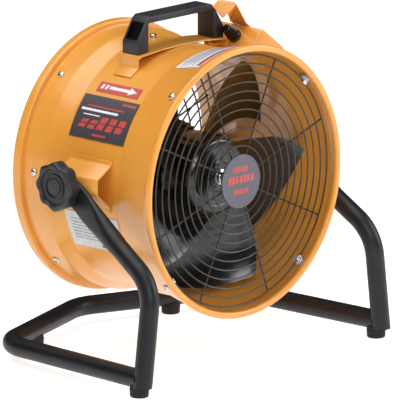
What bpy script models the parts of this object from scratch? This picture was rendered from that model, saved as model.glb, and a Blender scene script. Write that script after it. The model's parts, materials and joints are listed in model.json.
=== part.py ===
"""Portable 300 mm axial blower: a spun drum that tilts in a bent-tube stand.

Metres, +Z up.  The outlet faces -Y, the inlet +Y.  X = 0 is the plane of symmetry,
Y = 0 is the tilt axis of the drum and Z = 0 is the floor.
"""

import math

import bmesh
import bpy
from mathutils import Matrix, Vector

GAP = 0.0003

# Heights of the two main axes
PIVOT_Z = 0.2417
AXIS_Z = 0.2345
CLOCK = math.radians(2.5)

# Drum, radii against distance along its axis
SHEET = 0.0016
LIP_R = 0.1750
WAIST_R = 0.1602
INLET_R = 0.1690
FRONT_Y = -0.1325
REAR_Y = 0.1100
WAIST_FRONT_Y = -0.0640
WAIST_REAR_Y = 0.0380
INLET_Y = 0.0600
FLARE = ((-0.1180, 0.1712), (-0.1000, 0.1678), (-0.0800, 0.1632), (WAIST_FRONT_Y, WAIST_R))
DRUM_STEPS = 48

# Wire grilles
RING_PITCH = 0.0116
RING_FIRST = 0.0450
RING_OUTER = 0.1610
RING_TIE = 0.0300
WIRE_R = 0.0013
SPOKE_R = 0.0015
FRONT_RINGS_Y = -0.1198
REAR_RINGS_Y = 0.0845
REAR_RING_COUNT = 8
SPOKES = 8
WIRE_LAP = 0.0006
BADGE_R = 0.0345
BADGE_T = 0.0029

# Screws through the drum
SCREW_HEAD_R = 0.0048
SCREW_HEAD_H = 0.0030
SCREW_R = 0.0024
FRONT_SCREW_Y = -0.1168
FRONT_SCREW_RISE = 0.0014
REAR_SCREW_Y = 0.0815
CLIP_R = 0.0055
CLIP_INNER_R = 0.1572

# Impeller and motor
BLADES = 5
BLADE_T = 0.0024
BLADE_CAMBER = 0.09
BLADE_SHARES = (0.0, 0.15, 0.4, 0.65, 0.87, 1.0)
BLADE_RADII = (0.0440, 0.0620, 0.0850, 0.1150, 0.1490)
BLADE_FRONT = ((-34.0, -0.0780), (-20.0, -0.0780), (-8.0, -0.0810), (1.0, -0.0860), (13.0, -0.0920))
BLADE_REAR = ((30.0, -0.0420), (43.0, -0.0420), (54.0, -0.0380), (64.0, -0.0300), (76.0, -0.0180))
HUB_R = 0.0520
HUB_FRONT_Y = -0.0860
HUB_REAR_Y = -0.0330
SHAFT_R = 0.0060
SHAFT_REAR_Y = 0.0120
MOTOR_R = 0.0600
MOTOR_FRONT_Y = -0.0120
MOTOR_BACK_Y = 0.0640
MOTOR_REAR_Y = 0.0760
ARM_W = 0.0220
ARM_T = 0.0030
STRAP_T = 0.0030
MOTOR_BOLT_Y = (0.0380, 0.0765)

# Stand
TUBE_R = 0.0125
RAIL_Z = 0.0228
FRONT_X = 0.2157
LEG_Y = -0.1634
REAR_X = 0.2040
REAR_BEND_Y = 0.0932
APEX_Y = 0.1669
LEAN = 0.1256
RAIL_INSET = 0.0040
TOE_Z = 0.0103
LEG_RISE = 0.62
EYE_HALF_W = 0.0175
EYE_HALF_T = 0.0040
EYE_X = 0.1883
KNOB_CLEAR = 0.0360
FOOT_R = 0.0124
FOOT_GAP = 0.0005
FOOT_TOP_Z = 0.0160
FRONT_FOOT_Y = -0.1560
REAR_FOOT_X = 0.1240

# Side brackets and clamp knobs
BRACKET_T = 0.0024
BRACKET_WEB_X = 0.1828
BRACKET_WEB_Z = (0.2336, 0.2535)
BRACKET_LIP_R = 0.1617
BRACKET_LIPS = (75.7, 78.0, 97.0, 99.4)
BRACKET_Y = (-0.0510, 0.0210)
STUD_R = 0.0040
STUD_X = (0.1710, 0.2005)
NUT_X = (0.1740, 0.1813)
NUT_R = 0.0074
KNOB_BACK_X = 0.1926
KNOB_T = 0.0191
KNOB_R = 0.0302
KNOB_LOBE = 0.0018
KNOB_LOBES = 8

# Handle and its saddle
SADDLE_T = 0.0018
SADDLE_ARCH = ((0.0, 0.3960), (0.0400, 0.3948), (0.0785, 0.3911))
SADDLE_TOE_R = WAIST_R + 0.0015
SADDLE_TOE_X = 0.0929
SADDLE_TAB_Y = (-0.0205, 0.0100)
SADDLE_TAB_TOP = 0.3886
SADDLE_RIGHT_X = 0.0786
SADDLE_RIGHT_TAB = (0.0757, 0.3778)
SADDLE_Y = (-0.0240, 0.0125)
HANDLE_Y = (-0.0185, 0.0100)
HANDLE_OUT_X = 0.0773
HANDLE_IN_X = 0.0583
HANDLE_SIDE_Z = 0.4080
HANDLE_SHOULDER = (0.0600, 0.4352)
HANDLE_TOP = (0.0545, 0.4392)
HANDLE_UNDER = (0.0578, 0.4306)
HANDLE_SCREW_X = 0.0678

# Switch box
BOX_ANGLE = math.radians(38.0)
BOX_HALF_W = 0.0260
BOX_TOP_R = 0.1980
BOX_Y = (-0.0640, 0.0200)
BOX_WALL = 0.0018
GLAND_R = 0.0072
GLAND_RADIUS = 0.1797
GLAND_Y = -0.0270
GLAND_LENGTH = 0.0240
TOGGLE_RADIUS = 0.1820
TOGGLE_PIVOT_Y = 0.0242

# Labels: angles from the top in degrees, then the reach along the drum
LABEL_T = 0.0005
LABEL_OFF = 0.0007

scene_parts = None
scene_cutters = None


def clear_scene():
    for old in list(bpy.data.objects):
        bpy.data.objects.remove(old, do_unlink=True)


def collection(name):
    made = bpy.data.collections.new(name)
    bpy.context.scene.collection.children.link(made)
    return made


def material(name, colour, roughness, metallic=0.0):
    made = bpy.data.materials.get(name)
    if made is None:
        made = bpy.data.materials.new(name)
        made.use_nodes = True
        shader = made.node_tree.nodes["Principled BSDF"]
        shader.inputs["Base Color"].default_value = (*colour, 1.0)
        shader.inputs["Roughness"].default_value = roughness
        shader.inputs["Metallic"].default_value = metallic
    return made


def orange_paint():
    return material("orange_paint", (0.80, 0.36, 0.05), 0.32)


def black_paint():
    return material("black_paint", (0.030, 0.031, 0.034), 0.45)


def black_plastic():
    return material("black_plastic", (0.028, 0.029, 0.032), 0.50)


def black_rubber():
    return material("black_rubber", (0.015, 0.015, 0.015), 0.80)


def grey_wire():
    return material("grey_wire", (0.20, 0.19, 0.18), 0.40, 0.3)


def zinc_plate():
    return material("zinc_plate", (0.62, 0.62, 0.60), 0.30, 1.0)


def motor_black():
    return material("motor_black", (0.020, 0.020, 0.022), 0.50)


def blade_paint():
    return material("blade_paint", (0.022, 0.022, 0.020), 0.30)


def badge_grey():
    return material("badge_grey", (0.17, 0.17, 0.20), 0.45)


def label_dark():
    return material("label_dark", (0.07, 0.06, 0.08), 0.45)


def label_red():
    return material("label_red", (0.60, 0.09, 0.07), 0.45)


def label_white():
    return material("label_white", (0.72, 0.72, 0.72), 0.45)


def lathe_turn():
    """Turns a shape modelled about local Z so that its Z runs along world +Y."""
    return Matrix.Rotation(math.radians(-90.0), 4, "X")


def on_drum(angle, radius, y):
    """A frame on the drum: Z outward, Y along the drum, angle from the top towards +X."""
    turn = Matrix.Rotation(angle, 4, "Y")
    place = Matrix.Translation((0.0, y, AXIS_Z))
    return place @ turn @ Matrix.Translation((0.0, 0.0, radius))


def add(name, mesh, mat, matrix=None, cutter=False, smooth_angle=35.0):
    obj = bpy.data.objects.new(name, mesh)
    target = scene_cutters if cutter else scene_parts
    target.objects.link(obj)
    if matrix is not None:
        obj.matrix_world = matrix
    if cutter:
        obj.hide_render = True
        obj.display_type = "WIRE"
    elif mat is not None:
        mesh.materials.clear()
        mesh.materials.append(mat)
        mesh.shade_smooth()
        mesh.set_sharp_from_angle(angle=math.radians(smooth_angle))
    return obj


def mesh_from(name, bm):
    bmesh.ops.recalc_face_normals(bm, faces=bm.faces)
    mesh = bpy.data.meshes.new(name)
    bm.to_mesh(mesh)
    bm.free()
    return mesh


def box_mesh(name, low, high):
    bm = bmesh.new()
    bmesh.ops.create_cube(bm, size=1.0)
    size = Vector(high) - Vector(low)
    middle = (Vector(high) + Vector(low)) / 2.0
    bmesh.ops.scale(bm, vec=size, verts=bm.verts)
    bmesh.ops.translate(bm, vec=middle, verts=bm.verts)
    return mesh_from(name, bm)


def rod_mesh(name, radius, length, sides=16, top_radius=None):
    """A rod along local Z from 0 to its length."""
    bm = bmesh.new()
    upper = radius if top_radius is None else top_radius
    bmesh.ops.create_cone(bm, cap_ends=True, segments=sides, radius1=radius, radius2=upper, depth=length)
    bmesh.ops.translate(bm, vec=(0.0, 0.0, length / 2.0), verts=bm.verts)
    return mesh_from(name, bm)


def turned(name, profile, steps, mat, matrix, closed=False, smooth_angle=35.0):
    """A turned body: profile points (radius, height), outer side from top to bottom."""
    bm = bmesh.new()
    verts = [bm.verts.new((radius, 0.0, height)) for radius, height in profile]
    for first, second in zip(verts, verts[1:]):
        bm.edges.new((first, second))
    if closed:
        bm.edges.new((verts[-1], verts[0]))
    mesh = bpy.data.meshes.new(name)
    bm.to_mesh(mesh)
    bm.free()
    guide = bpy.data.objects.new(name + "_profile", mesh)
    scene_cutters.objects.link(guide)
    screw = guide.modifiers.new("Screw", "SCREW")
    screw.axis = "Z"
    screw.angle = math.tau
    screw.steps = steps
    screw.render_steps = steps
    screw.use_merge_vertices = True
    screw.merge_threshold = 0.00001
    return bake(name, guide, mat, matrix, smooth_angle=smooth_angle)


def bake(name, source, mat, matrix=None, cutter=False, smooth_angle=35.0):
    """Replaces a curve or a modified guide by a welded mesh object."""
    graph = bpy.context.evaluated_depsgraph_get()
    graph.update()
    mesh = bpy.data.meshes.new_from_object(source.evaluated_get(graph))
    mesh.name = name
    placed = source.matrix_world.copy() if matrix is None else matrix
    bpy.data.objects.remove(source, do_unlink=True)
    bm = bmesh.new()
    bm.from_mesh(mesh)
    bmesh.ops.remove_doubles(bm, verts=bm.verts, dist=0.00001)
    bmesh.ops.recalc_face_normals(bm, faces=bm.faces)
    bm.to_mesh(mesh)
    bm.free()
    return add(name, mesh, mat, placed, cutter, smooth_angle)


def tube(name, points, radius, mat, cyclic=False, resolution=3, caps=True, cutter=False):
    """A round tube along a run of points."""
    curve = bpy.data.curves.new(name, "CURVE")
    curve.dimensions = "3D"
    curve.bevel_depth = radius
    curve.bevel_resolution = resolution
    curve.use_fill_caps = caps
    run = curve.splines.new("POLY")
    run.points.add(len(points) - 1)
    for slot, point in zip(run.points, points):
        slot.co = (*point, 1.0)
    run.use_cyclic_u = cyclic
    guide = bpy.data.objects.new(name + "_path", curve)
    scene_cutters.objects.link(guide)
    return bake(name, guide, mat, None, cutter)


def filleted(corners, radii, steps=6):
    """A run of points through the corners with an arc of the given radius at each inner one."""
    points = [Vector(corners[0])]
    for index in range(1, len(corners) - 1):
        here = Vector(corners[index])
        back = (Vector(corners[index - 1]) - here).normalized()
        ahead = (Vector(corners[index + 1]) - here).normalized()
        half = back.angle(ahead) / 2.0
        reach = radii[index - 1] / math.tan(half)
        centre = here + (back + ahead).normalized() * (radii[index - 1] / math.sin(half))
        start = here + back * reach - centre
        end = here + ahead * reach - centre
        sweep = start.angle(end)
        for step in range(steps + 1):
            share = step / steps
            first = math.sin((1.0 - share) * sweep) / math.sin(sweep)
            second = math.sin(share * sweep) / math.sin(sweep)
            points.append(centre + start * first + end * second)
    points.append(Vector(corners[-1]))
    return points


def boolean(target, operand, operation="DIFFERENCE"):
    cut = target.modifiers.new("Boolean", "BOOLEAN")
    cut.operation = operation
    cut.solver = "EXACT"
    cut.object = operand


def solidify(target, thickness, offset=0.0):
    shell = target.modifiers.new("Solidify", "SOLIDIFY")
    shell.thickness = thickness
    shell.offset = offset
    shell.use_even_offset = True


def bevel(target, width, segments=1, angle=40.0):
    edge = target.modifiers.new("Bevel", "BEVEL")
    edge.width = width
    edge.segments = segments
    edge.limit_method = "ANGLE"
    edge.angle_limit = math.radians(angle)


def cutter_rod(name, radius, start, direction, length, sides=12):
    turn = Vector((0.0, 0.0, 1.0)).rotation_difference(Vector(direction)).to_matrix().to_4x4()
    place = Matrix.Translation(start) @ turn
    return add(name, rod_mesh(name, radius, length, sides), None, place, cutter=True)


def strip(name, outline, y_range, thickness, mat, matrix=None):
    """A bent sheet: an open outline in X and Z run along Y, then given its thickness."""
    bm = bmesh.new()
    verts = [bm.verts.new((x, y_range[0], z)) for x, z in outline]
    edges = [bm.edges.new(pair) for pair in zip(verts, verts[1:])]
    grown = bmesh.ops.extrude_edge_only(bm, edges=edges)
    moved = [item for item in grown["geom"] if isinstance(item, bmesh.types.BMVert)]
    bmesh.ops.translate(bm, vec=(0.0, y_range[1] - y_range[0], 0.0), verts=moved)
    obj = add(name, mesh_from(name, bm), mat, matrix)
    solidify(obj, thickness)
    return obj


def prism(name, outline, y_range, mat, matrix=None, cutter=False):
    """A solid of constant section: a closed outline in X and Z run along Y."""
    bm = bmesh.new()
    verts = [bm.verts.new((x, y_range[0], z)) for x, z in outline]
    face = bm.faces.new(verts)
    grown = bmesh.ops.extrude_face_region(bm, geom=[face])
    moved = [item for item in grown["geom"] if isinstance(item, bmesh.types.BMVert)]
    bmesh.ops.translate(bm, vec=(0.0, y_range[1] - y_range[0], 0.0), verts=moved)
    return add(name, mesh_from(name, bm), mat, matrix, cutter)


def loft(name, rings, mat, matrix=None, smooth_angle=35.0):
    """A closed body through rings of equal count, capped at both ends."""
    bm = bmesh.new()
    made = [[bm.verts.new(point) for point in ring] for ring in rings]
    count = len(rings[0])
    for lower, upper in zip(made, made[1:]):
        for index in range(count):
            after = (index + 1) % count
            bm.faces.new((lower[index], lower[after], upper[after], upper[index]))
    bm.faces.new(made[0])
    bm.faces.new(made[-1])
    return add(name, mesh_from(name, bm), mat, matrix, smooth_angle=smooth_angle)


# ---------------------------------------------------------------- drum


def wall_radius(y):
    """Inner radius of the sheet, less what its flat facets take."""
    if y <= INLET_Y:
        inner = drum_radius(y) - SHEET
    else:
        inner = 0.1669 - 0.0007 * (y - INLET_Y) / (0.0940 - INLET_Y)
    return inner * math.cos(math.pi / DRUM_STEPS)


def drum_radius(y):
    """Outer radius of the sheet at a distance along the drum."""
    knots = list(FLARE) + [(WAIST_REAR_Y, WAIST_R), (0.0500, 0.1652), (INLET_Y, 0.1685), (REAR_Y, INLET_R)]
    for (y0, r0), (y1, r1) in zip(knots, knots[1:]):
        if y0 <= y <= y1:
            return r0 + (r1 - r0) * (y - y0) / (y1 - y0)
    return knots[0][1] if y < knots[0][0] else knots[-1][1]


def housing_shell():
    outer = [
        (0.1700, REAR_Y),
        (0.1732, REAR_Y),
        (LIP_R, 0.1080),
        (LIP_R, 0.0985),
        (0.1735, 0.0965),
        (0.1678, 0.0960),
        (0.1678, 0.0945),
        (INLET_R, 0.0940),
        (0.1685, INLET_Y),
        (0.1652, 0.0500),
        (WAIST_R, WAIST_REAR_Y),
        (WAIST_R, WAIST_FRONT_Y),
        (0.1632, -0.0800),
        (0.1678, -0.1000),
        (0.1712, -0.1180),
        (0.1732, -0.1245),
        (LIP_R, -0.1265),
        (LIP_R, -0.1305),
        (0.1730, FRONT_Y),
        (0.1685, FRONT_Y),
        (0.1662, -0.1305),
        (0.1662, -0.1265),
        (0.1690, -0.1215),
    ]
    inner = [(drum_radius(y) - SHEET, y) for y, _ in FLARE]
    inner += [(WAIST_R - SHEET, WAIST_REAR_Y), (0.1652 - SHEET, 0.0500), (0.1685 - SHEET, INLET_Y)]
    inner += [(0.1662, 0.0940), (0.1675, 0.1085)]
    profile = outer + inner
    shell = turned("housing_shell", profile, DRUM_STEPS, orange_paint(), drum_matrix(), closed=True)
    for number, angle in enumerate(screw_angles()):
        for label, y in (("front", FRONT_SCREW_Y), ("rear", REAR_SCREW_Y)):
            boolean(shell, radial_cutter(f"cut_{label}_{number}", angle, y, SCREW_R + GAP))
    for number, (angle, y) in enumerate(motor_bolts()):
        boolean(shell, radial_cutter(f"cut_motor_{number}", angle, y, SCREW_R + GAP))
    return shell


def drum_matrix():
    return Matrix.Translation((0.0, 0.0, AXIS_Z)) @ lathe_turn()


def radial_cutter(name, angle, y, radius):
    place = on_drum(angle, WAIST_R - 0.012, y)
    return add(name, rod_mesh(name, radius, 0.030, 10), None, place, cutter=True)


def screw_angles():
    return [CLOCK + math.radians(45.0 + 90.0 * index) for index in range(4)]


def motor_bolts():
    """Angle and distance along the drum of the four screws that hold the motor straps."""
    return [(CLOCK + math.radians(90.0 * index), MOTOR_BOLT_Y[index % 2]) for index in range(4)]


def ring_points(radius, y, count=28):
    points = []
    for index in range(count):
        angle = math.tau * index / count
        points.append((radius * math.sin(angle), y, AXIS_Z + radius * math.cos(angle)))
    return points


def grille(name, rings_y, spokes_y, radii, wire):
    first = tube(name, ring_points(radii[-1], rings_y, 32), wire, grey_wire(), True, 0, False)
    for number, radius in enumerate(radii[:-1]):
        count = 16 if radius < 0.07 else 24
        path = ring_points(radius, rings_y, count)
        ring = tube(f"{name}_ring_{number}", path, wire, None, True, 0, False, True)
        boolean(first, ring, "UNION")
    for number in range(SPOKES):
        angle = CLOCK + math.tau * (number + 0.5) / SPOKES
        inner = radii[0] - 0.004
        outer = radii[-1] + 0.0012
        run = []
        for radius in (inner, outer):
            run.append((radius * math.sin(angle), spokes_y, AXIS_Z + radius * math.cos(angle)))
        spoke = tube(f"{name}_spoke_{number}", run, SPOKE_R, None, False, 1, True, True)
        boolean(first, spoke, "UNION")
    return first


def front_grille():
    radii = [RING_TIE] + [RING_FIRST + RING_PITCH * index for index in range(11)]
    behind = FRONT_RINGS_Y + WIRE_R + SPOKE_R - WIRE_LAP
    return grille("front_grille", FRONT_RINGS_Y, behind, radii, WIRE_R)


def rear_grille():
    pitch = (RING_OUTER - RING_TIE) / (REAR_RING_COUNT - 1)
    radii = [RING_TIE + pitch * index for index in range(REAR_RING_COUNT)]
    ahead = REAR_RINGS_Y - WIRE_R - SPOKE_R + WIRE_LAP
    return grille("rear_grille", REAR_RINGS_Y, ahead, radii, WIRE_R)


def front_badge():
    back = FRONT_RINGS_Y - WIRE_R - GAP
    profile = [
        (0.0, back),
        (BADGE_R - 0.0004, back),
        (BADGE_R, back - 0.0004),
        (BADGE_R, back - BADGE_T + 0.0006),
        (BADGE_R - 0.0006, back - BADGE_T),
        (0.0, back - BADGE_T),
    ]
    return turned("front_badge", profile, 40, badge_grey(), drum_matrix())


def pan_screw(name, head_r, head_h, shank_r, shank, mat, matrix):
    """A pan-head screw: local Z outward, the head's seat at Z = 0, the shank below."""
    profile = [
        (0.0, head_h),
        (head_r * 0.60, head_h * 0.85),
        (head_r, 0.0),
        (shank_r, 0.0),
        (shank_r, -shank),
        (0.0, -shank),
    ]
    return turned(name, profile, 10, mat, matrix)


def drum_screws():
    for number, angle in enumerate(screw_angles()):
        for label, y in (("front", FRONT_SCREW_Y), ("rear", REAR_SCREW_Y)):
            if label == "front":
                seat = FLARE[0][1] + FRONT_SCREW_RISE
            else:
                seat = drum_radius(y + SCREW_HEAD_R) + GAP
            pan_screw(f"{label}_screw_{number + 1}", SCREW_HEAD_R, SCREW_HEAD_H, SCREW_R,
                      seat - CLIP_INNER_R - 0.0065, zinc_plate(), on_drum(angle, seat, y))
            grille_clip(f"{label}_clip_{number + 1}", angle, y, label)


def grille_clip(name, angle, y, label):
    """A round clip block inside the wall, notched for the outer ring and bored for its screw."""
    rings_y = FRONT_RINGS_Y if label == "front" else REAR_RINGS_Y
    wall = min(wall_radius(y - CLIP_R), wall_radius(y + CLIP_R))
    height = math.sqrt(wall ** 2 - CLIP_R ** 2) - GAP - CLIP_INNER_R
    mesh = rod_mesh(name, CLIP_R, height, 10)
    clip = add(name, mesh, zinc_plate(), on_drum(angle, CLIP_INNER_R, y))
    path = ring_points(RING_OUTER, rings_y, 32)
    notch = tube(f"{name}_notch", path, WIRE_R + GAP, None, True, 0, False, True)
    boolean(clip, notch)
    bore = add(f"{name}_bore", rod_mesh(f"{name}_bore", SCREW_R + GAP, 0.02, 10), None,
               on_drum(angle, CLIP_INNER_R + 0.0062, y), cutter=True)
    boolean(clip, bore)
    return clip


# ---------------------------------------------------------------- impeller and motor


def blade_side(side, number):
    """One face of a blade: rows of points from the front edge to the rear edge at each radius."""
    rows = []
    for radius, (first, first_y), (last, last_y) in zip(BLADE_RADII, BLADE_FRONT, BLADE_REAR):
        depth = last_y - first_y
        lean = math.atan2(depth, radius * math.radians(last - first))
        row = []
        for share in BLADE_SHARES:
            thick = BLADE_T * (0.25 if share in (0.0, 1.0) else 0.5) * side
            bulge = BLADE_CAMBER * depth * 4.0 * share * (1.0 - share)
            middle = math.radians(first + (last - first) * share + 360.0 * number / BLADES)
            angle = middle - thick * math.sin(lean) / radius
            y = first_y + depth * share + bulge + thick * math.cos(lean)
            row.append((radius * math.sin(angle), y, radius * math.cos(angle)))
        rows.append(row)
    return rows


def blade(number):
    """One broad swept blade, its two faces split along the same diagonals so that they stay apart."""
    bm = bmesh.new()
    near = [[bm.verts.new(point) for point in row] for row in blade_side(1.0, number)]
    far = [[bm.verts.new(point) for point in row] for row in blade_side(-1.0, number)]
    for grid in (near, far):
        for inner, outer in zip(grid, grid[1:]):
            for step in range(len(inner) - 1):
                bm.faces.new((inner[step], inner[step + 1], outer[step + 1]))
                bm.faces.new((inner[step], outer[step + 1], outer[step]))
    rims = []
    for grid in (near, far):
        first_edge = [row[0] for row in grid]
        last_edge = [row[-1] for row in grid]
        rims.append(first_edge + grid[-1][1:] + last_edge[-2::-1] + grid[0][-2:0:-1])
    for step in range(len(rims[0])):
        after = (step + 1) % len(rims[0])
        bm.faces.new((rims[0][step], rims[0][after], rims[1][after], rims[1][step]))
    place = Matrix.Translation((0.0, 0.0, AXIS_Z))
    return add(f"blade_{number}", mesh_from(f"blade_{number}", bm), None, place, cutter=True)


def impeller():
    profile = [
        (0.0, HUB_FRONT_Y + 0.009),
        (SHAFT_R + GAP, HUB_FRONT_Y + 0.009),
        (SHAFT_R + GAP, HUB_REAR_Y),
        (HUB_R - 0.003, HUB_REAR_Y),
        (HUB_R, HUB_REAR_Y - 0.003),
        (HUB_R, HUB_FRONT_Y + 0.010),
        (HUB_R - 0.004, HUB_FRONT_Y + 0.003),
        (HUB_R - 0.012, HUB_FRONT_Y),
        (0.0, HUB_FRONT_Y),
    ]
    hub = turned("impeller", profile, 36, blade_paint(), drum_matrix())
    for number in range(BLADES):
        boolean(hub, blade(number), "UNION")
    return hub


def hub_nut():
    front = HUB_FRONT_Y - GAP
    profile = [
        (0.0, front),
        (0.0110, front),
        (0.0105, front - 0.004),
        (0.0060, front - 0.007),
        (0.0, front - 0.007),
    ]
    return turned("hub_nut", profile, 16, zinc_plate(), drum_matrix())


def motor_shaft():
    start = HUB_FRONT_Y + 0.0095
    length = SHAFT_REAR_Y - GAP - start
    place = drum_matrix() @ Matrix.Translation((0.0, 0.0, start))
    return add("motor_shaft", rod_mesh("motor_shaft", SHAFT_R, length, 16), zinc_plate(), place)


def motor_body():
    profile = [
        (0.0, MOTOR_BACK_Y),
        (MOTOR_R, MOTOR_BACK_Y),
        (MOTOR_R, MOTOR_FRONT_Y + 0.006),
        (MOTOR_R - 0.005, MOTOR_FRONT_Y + 0.001),
        (MOTOR_R - 0.020, MOTOR_FRONT_Y),
        (SHAFT_R + GAP, MOTOR_FRONT_Y),
        (SHAFT_R + GAP, SHAFT_REAR_Y),
        (0.0, SHAFT_REAR_Y),
    ]
    return turned("motor_body", profile, 36, motor_black(), drum_matrix())


def motor_end_cover():
    front = MOTOR_BACK_Y + GAP
    profile = [
        (0.0, MOTOR_REAR_Y),
        (0.016, MOTOR_REAR_Y),
        (0.018, MOTOR_REAR_Y - 0.003),
        (0.043, MOTOR_REAR_Y - 0.004),
        (0.050, MOTOR_REAR_Y - 0.009),
        (0.050, front),
        (0.0, front),
    ]
    return turned("motor_end_cover", profile, 36, motor_black(), drum_matrix())


def motor_strap(name, bolt_y, first_turn):
    """A ring clamped round the motor with two flat arms that end in bent tabs at the drum wall."""
    inner = MOTOR_R + GAP
    arm_y = bolt_y - 0.0085
    ring_low = min(arm_y - ARM_T / 2.0 - 0.004, MOTOR_BACK_Y - 0.011)
    ring_high = arm_y + ARM_T / 2.0 + 0.001
    profile = [
        (inner + STRAP_T, ring_high),
        (inner + STRAP_T, ring_low),
        (inner, ring_low),
        (inner, ring_high),
    ]
    strap = turned(name, profile, 36, motor_black(), drum_matrix(), closed=True)
    tab_end = bolt_y + 0.006
    wall = min(wall_radius(arm_y), wall_radius(tab_end))
    reach = math.sqrt(wall ** 2 - (ARM_W / 2.0) ** 2) - GAP
    for number in range(2):
        angle = CLOCK + math.radians(first_turn + 180.0 * number)
        place = on_drum(angle, 0.0, arm_y)
        turned_place = place @ Matrix.Rotation(math.radians(90.0), 4, "Z")
        foot_end = tab_end - arm_y
        section = [
            (-ARM_T / 2.0, inner + 0.001),
            (ARM_T / 2.0, inner + 0.001),
            (ARM_T / 2.0, reach - ARM_T),
            (foot_end, reach - ARM_T),
            (foot_end, reach),
            (-ARM_T / 2.0, reach),
        ]
        half = ARM_W / 2.0
        arm = prism(f"{name}_arm_{number}", section, (-half, half), None, turned_place, cutter=True)
        boolean(strap, arm, "UNION")
        bore = radial_cutter(f"{name}_bore_{number}", angle, bolt_y, SCREW_R + GAP)
        boolean(strap, bore)
    return reach


def motor_screws(reaches):
    names = ("top", "right", "bottom", "left")
    for index, (angle, y) in enumerate(motor_bolts()):
        seat = max(drum_radius(y - SCREW_HEAD_R), drum_radius(y + SCREW_HEAD_R)) + GAP
        shank = seat - reaches[index % 2] + ARM_T + 0.002
        pan_screw(f"motor_screw_{names[index]}", SCREW_HEAD_R, SCREW_HEAD_H, SCREW_R, shank,
                  zinc_plate(), on_drum(angle, seat, y))


# ---------------------------------------------------------------- labels


def label(name, angles, reach, mat):
    """A thin plate that follows the drum between two angles and two distances along it."""
    count = max(3, math.ceil(abs(angles[1] - angles[0]) / 5.0) + 1)
    stations = [reach[0]] + [y for y, _ in FLARE if reach[0] < y < reach[1]] + [reach[1]]
    bm = bmesh.new()
    grid = []
    for y in stations:
        radius = drum_radius(y) + LABEL_OFF
        row = []
        for step in range(count):
            angle = math.radians(angles[0] + (angles[1] - angles[0]) * step / (count - 1))
            row.append(bm.verts.new((radius * math.sin(angle), y, AXIS_Z + radius * math.cos(angle))))
        grid.append(row)
    for near, far in zip(grid, grid[1:]):
        for step in range(count - 1):
            bm.faces.new((near[step], near[step + 1], far[step + 1], far[step]))
    obj = add(name, mesh_from(name, bm), mat)
    solidify(obj, LABEL_T)
    return obj


def labels():
    label("nameplate", (-68.3, -47.6), (-0.0630, 0.0330), label_dark())
    label("arrow_label", (-45.3, -40.0), (-0.0524, 0.0197), label_red())
    label("rating_label", (-121.0, -102.5), (-0.0600, 0.0330), zinc_plate())
    label("top_label", (-23.0, 17.0), (-0.1175, -0.0720), label_white())


# ---------------------------------------------------------------- stand


def base_tube():
    corners = [
        (-FRONT_X, LEG_Y + RAIL_INSET, RAIL_Z),
        (-REAR_X, REAR_BEND_Y, RAIL_Z),
        (0.0, APEX_Y, RAIL_Z),
        (REAR_X, REAR_BEND_Y, RAIL_Z),
        (FRONT_X, LEG_Y + RAIL_INSET, RAIL_Z),
    ]
    path = filleted(corners, (0.045, 0.060, 0.045), 5)
    frame = tube("base_tube", path, TUBE_R, black_paint(), resolution=3)
    for side in (-1.0, 1.0):
        start = (side * (FRONT_X + LEAN * RAIL_Z), LEG_Y, 0.0)
        lean = (-side * LEAN, 0.0, 1.0)
        cut = cutter_rod(f"base_cope_{side:.0f}", TUBE_R + 0.0006, start, lean, 0.060, 24)
        boolean(frame, cut)
    return frame


def leg_tube(name, side):
    """A tube that rises from the base, bends back and is pressed flat to an eye at the tilt axis."""
    slope = math.atan(LEG_RISE)
    corner_z = PIVOT_Z - LEG_RISE * -LEG_Y
    corners = [(0.0, LEG_Y, TOE_Z + 0.0022), (0.0, LEG_Y, corner_z), (0.0, 0.0, PIVOT_Z)]
    path = filleted(corners, (0.055,), 4)
    straight = path.pop()
    last = path[-1]
    run = (straight - last).normalized()
    total = (straight - last).length
    stations = [(point, TUBE_R, TUBE_R) for point in path]
    widths = ((0.118, 0.0126, 0.0125), (0.100, 0.0136, 0.0122), (0.080, 0.0150, 0.0096),
              (0.062, 0.0164, 0.0066), (0.048, 0.0172, 0.0048), (0.035, EYE_HALF_W, EYE_HALF_T))
    for back, half_w, half_t in widths:
        if back < total:
            stations.append((straight - run * back, half_w, half_t))
    for ahead in (0.0, 0.50, 0.80, 0.97):
        half_w = EYE_HALF_W * math.sqrt(1.0 - ahead ** 2)
        stations.append((straight + run * (EYE_HALF_W * ahead), half_w, EYE_HALF_T))
    points = [station[0] for station in stations]
    rings = []
    for index, (point, half_w, half_t) in enumerate(stations):
        ahead = points[min(index + 1, len(points) - 1)]
        behind = points[max(index - 1, 0)]
        along = (ahead - behind).normalized()
        across = Vector((0.0, along.z, -along.y))
        away = (point - straight).length
        x = FRONT_X - LEAN * (point.z - RAIL_Z)
        x = EYE_X if away < KNOB_CLEAR or point.y > 0.0 else max(x, EYE_X)
        rings.append(leg_ring(side * x, point, across, half_w, half_t))
    first = rings[0]
    middle = sum((Vector(corner) for corner in first), Vector()) / len(first)
    toe = [middle + (Vector(corner) - middle) * 0.82 + Vector((0.0, 0.0, -0.0022)) for corner in first]
    leg = loft(name, [toe] + rings, black_paint())
    eye = (side * (EYE_X - 0.02), 0.0, PIVOT_Z)
    hole = cutter_rod(f"{name}_hole", STUD_R + GAP, eye, (side, 0.0, 0.0), 0.04)
    boolean(leg, hole)


def leg_ring(x, point, across, half_w, half_t):
    """Sixteen points of a flattened round section: two half circles with a flat between them."""
    ring = []
    lift = 1.0 / math.sin(math.radians(78.75))
    round_w = min(half_t, half_w)
    for end in (1.0, -1.0):
        for step in range(8):
            angle = math.radians(-78.75 + 22.5 * step)
            wide = end * (half_w - round_w + round_w * math.cos(angle))
            thick = end * half_t * math.sin(angle) * (lift if half_t < TUBE_R - 0.0004 else 1.0)
            ring.append((x + thick, point.y + across.y * wide, point.z + across.z * wide))
    return ring


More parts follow.
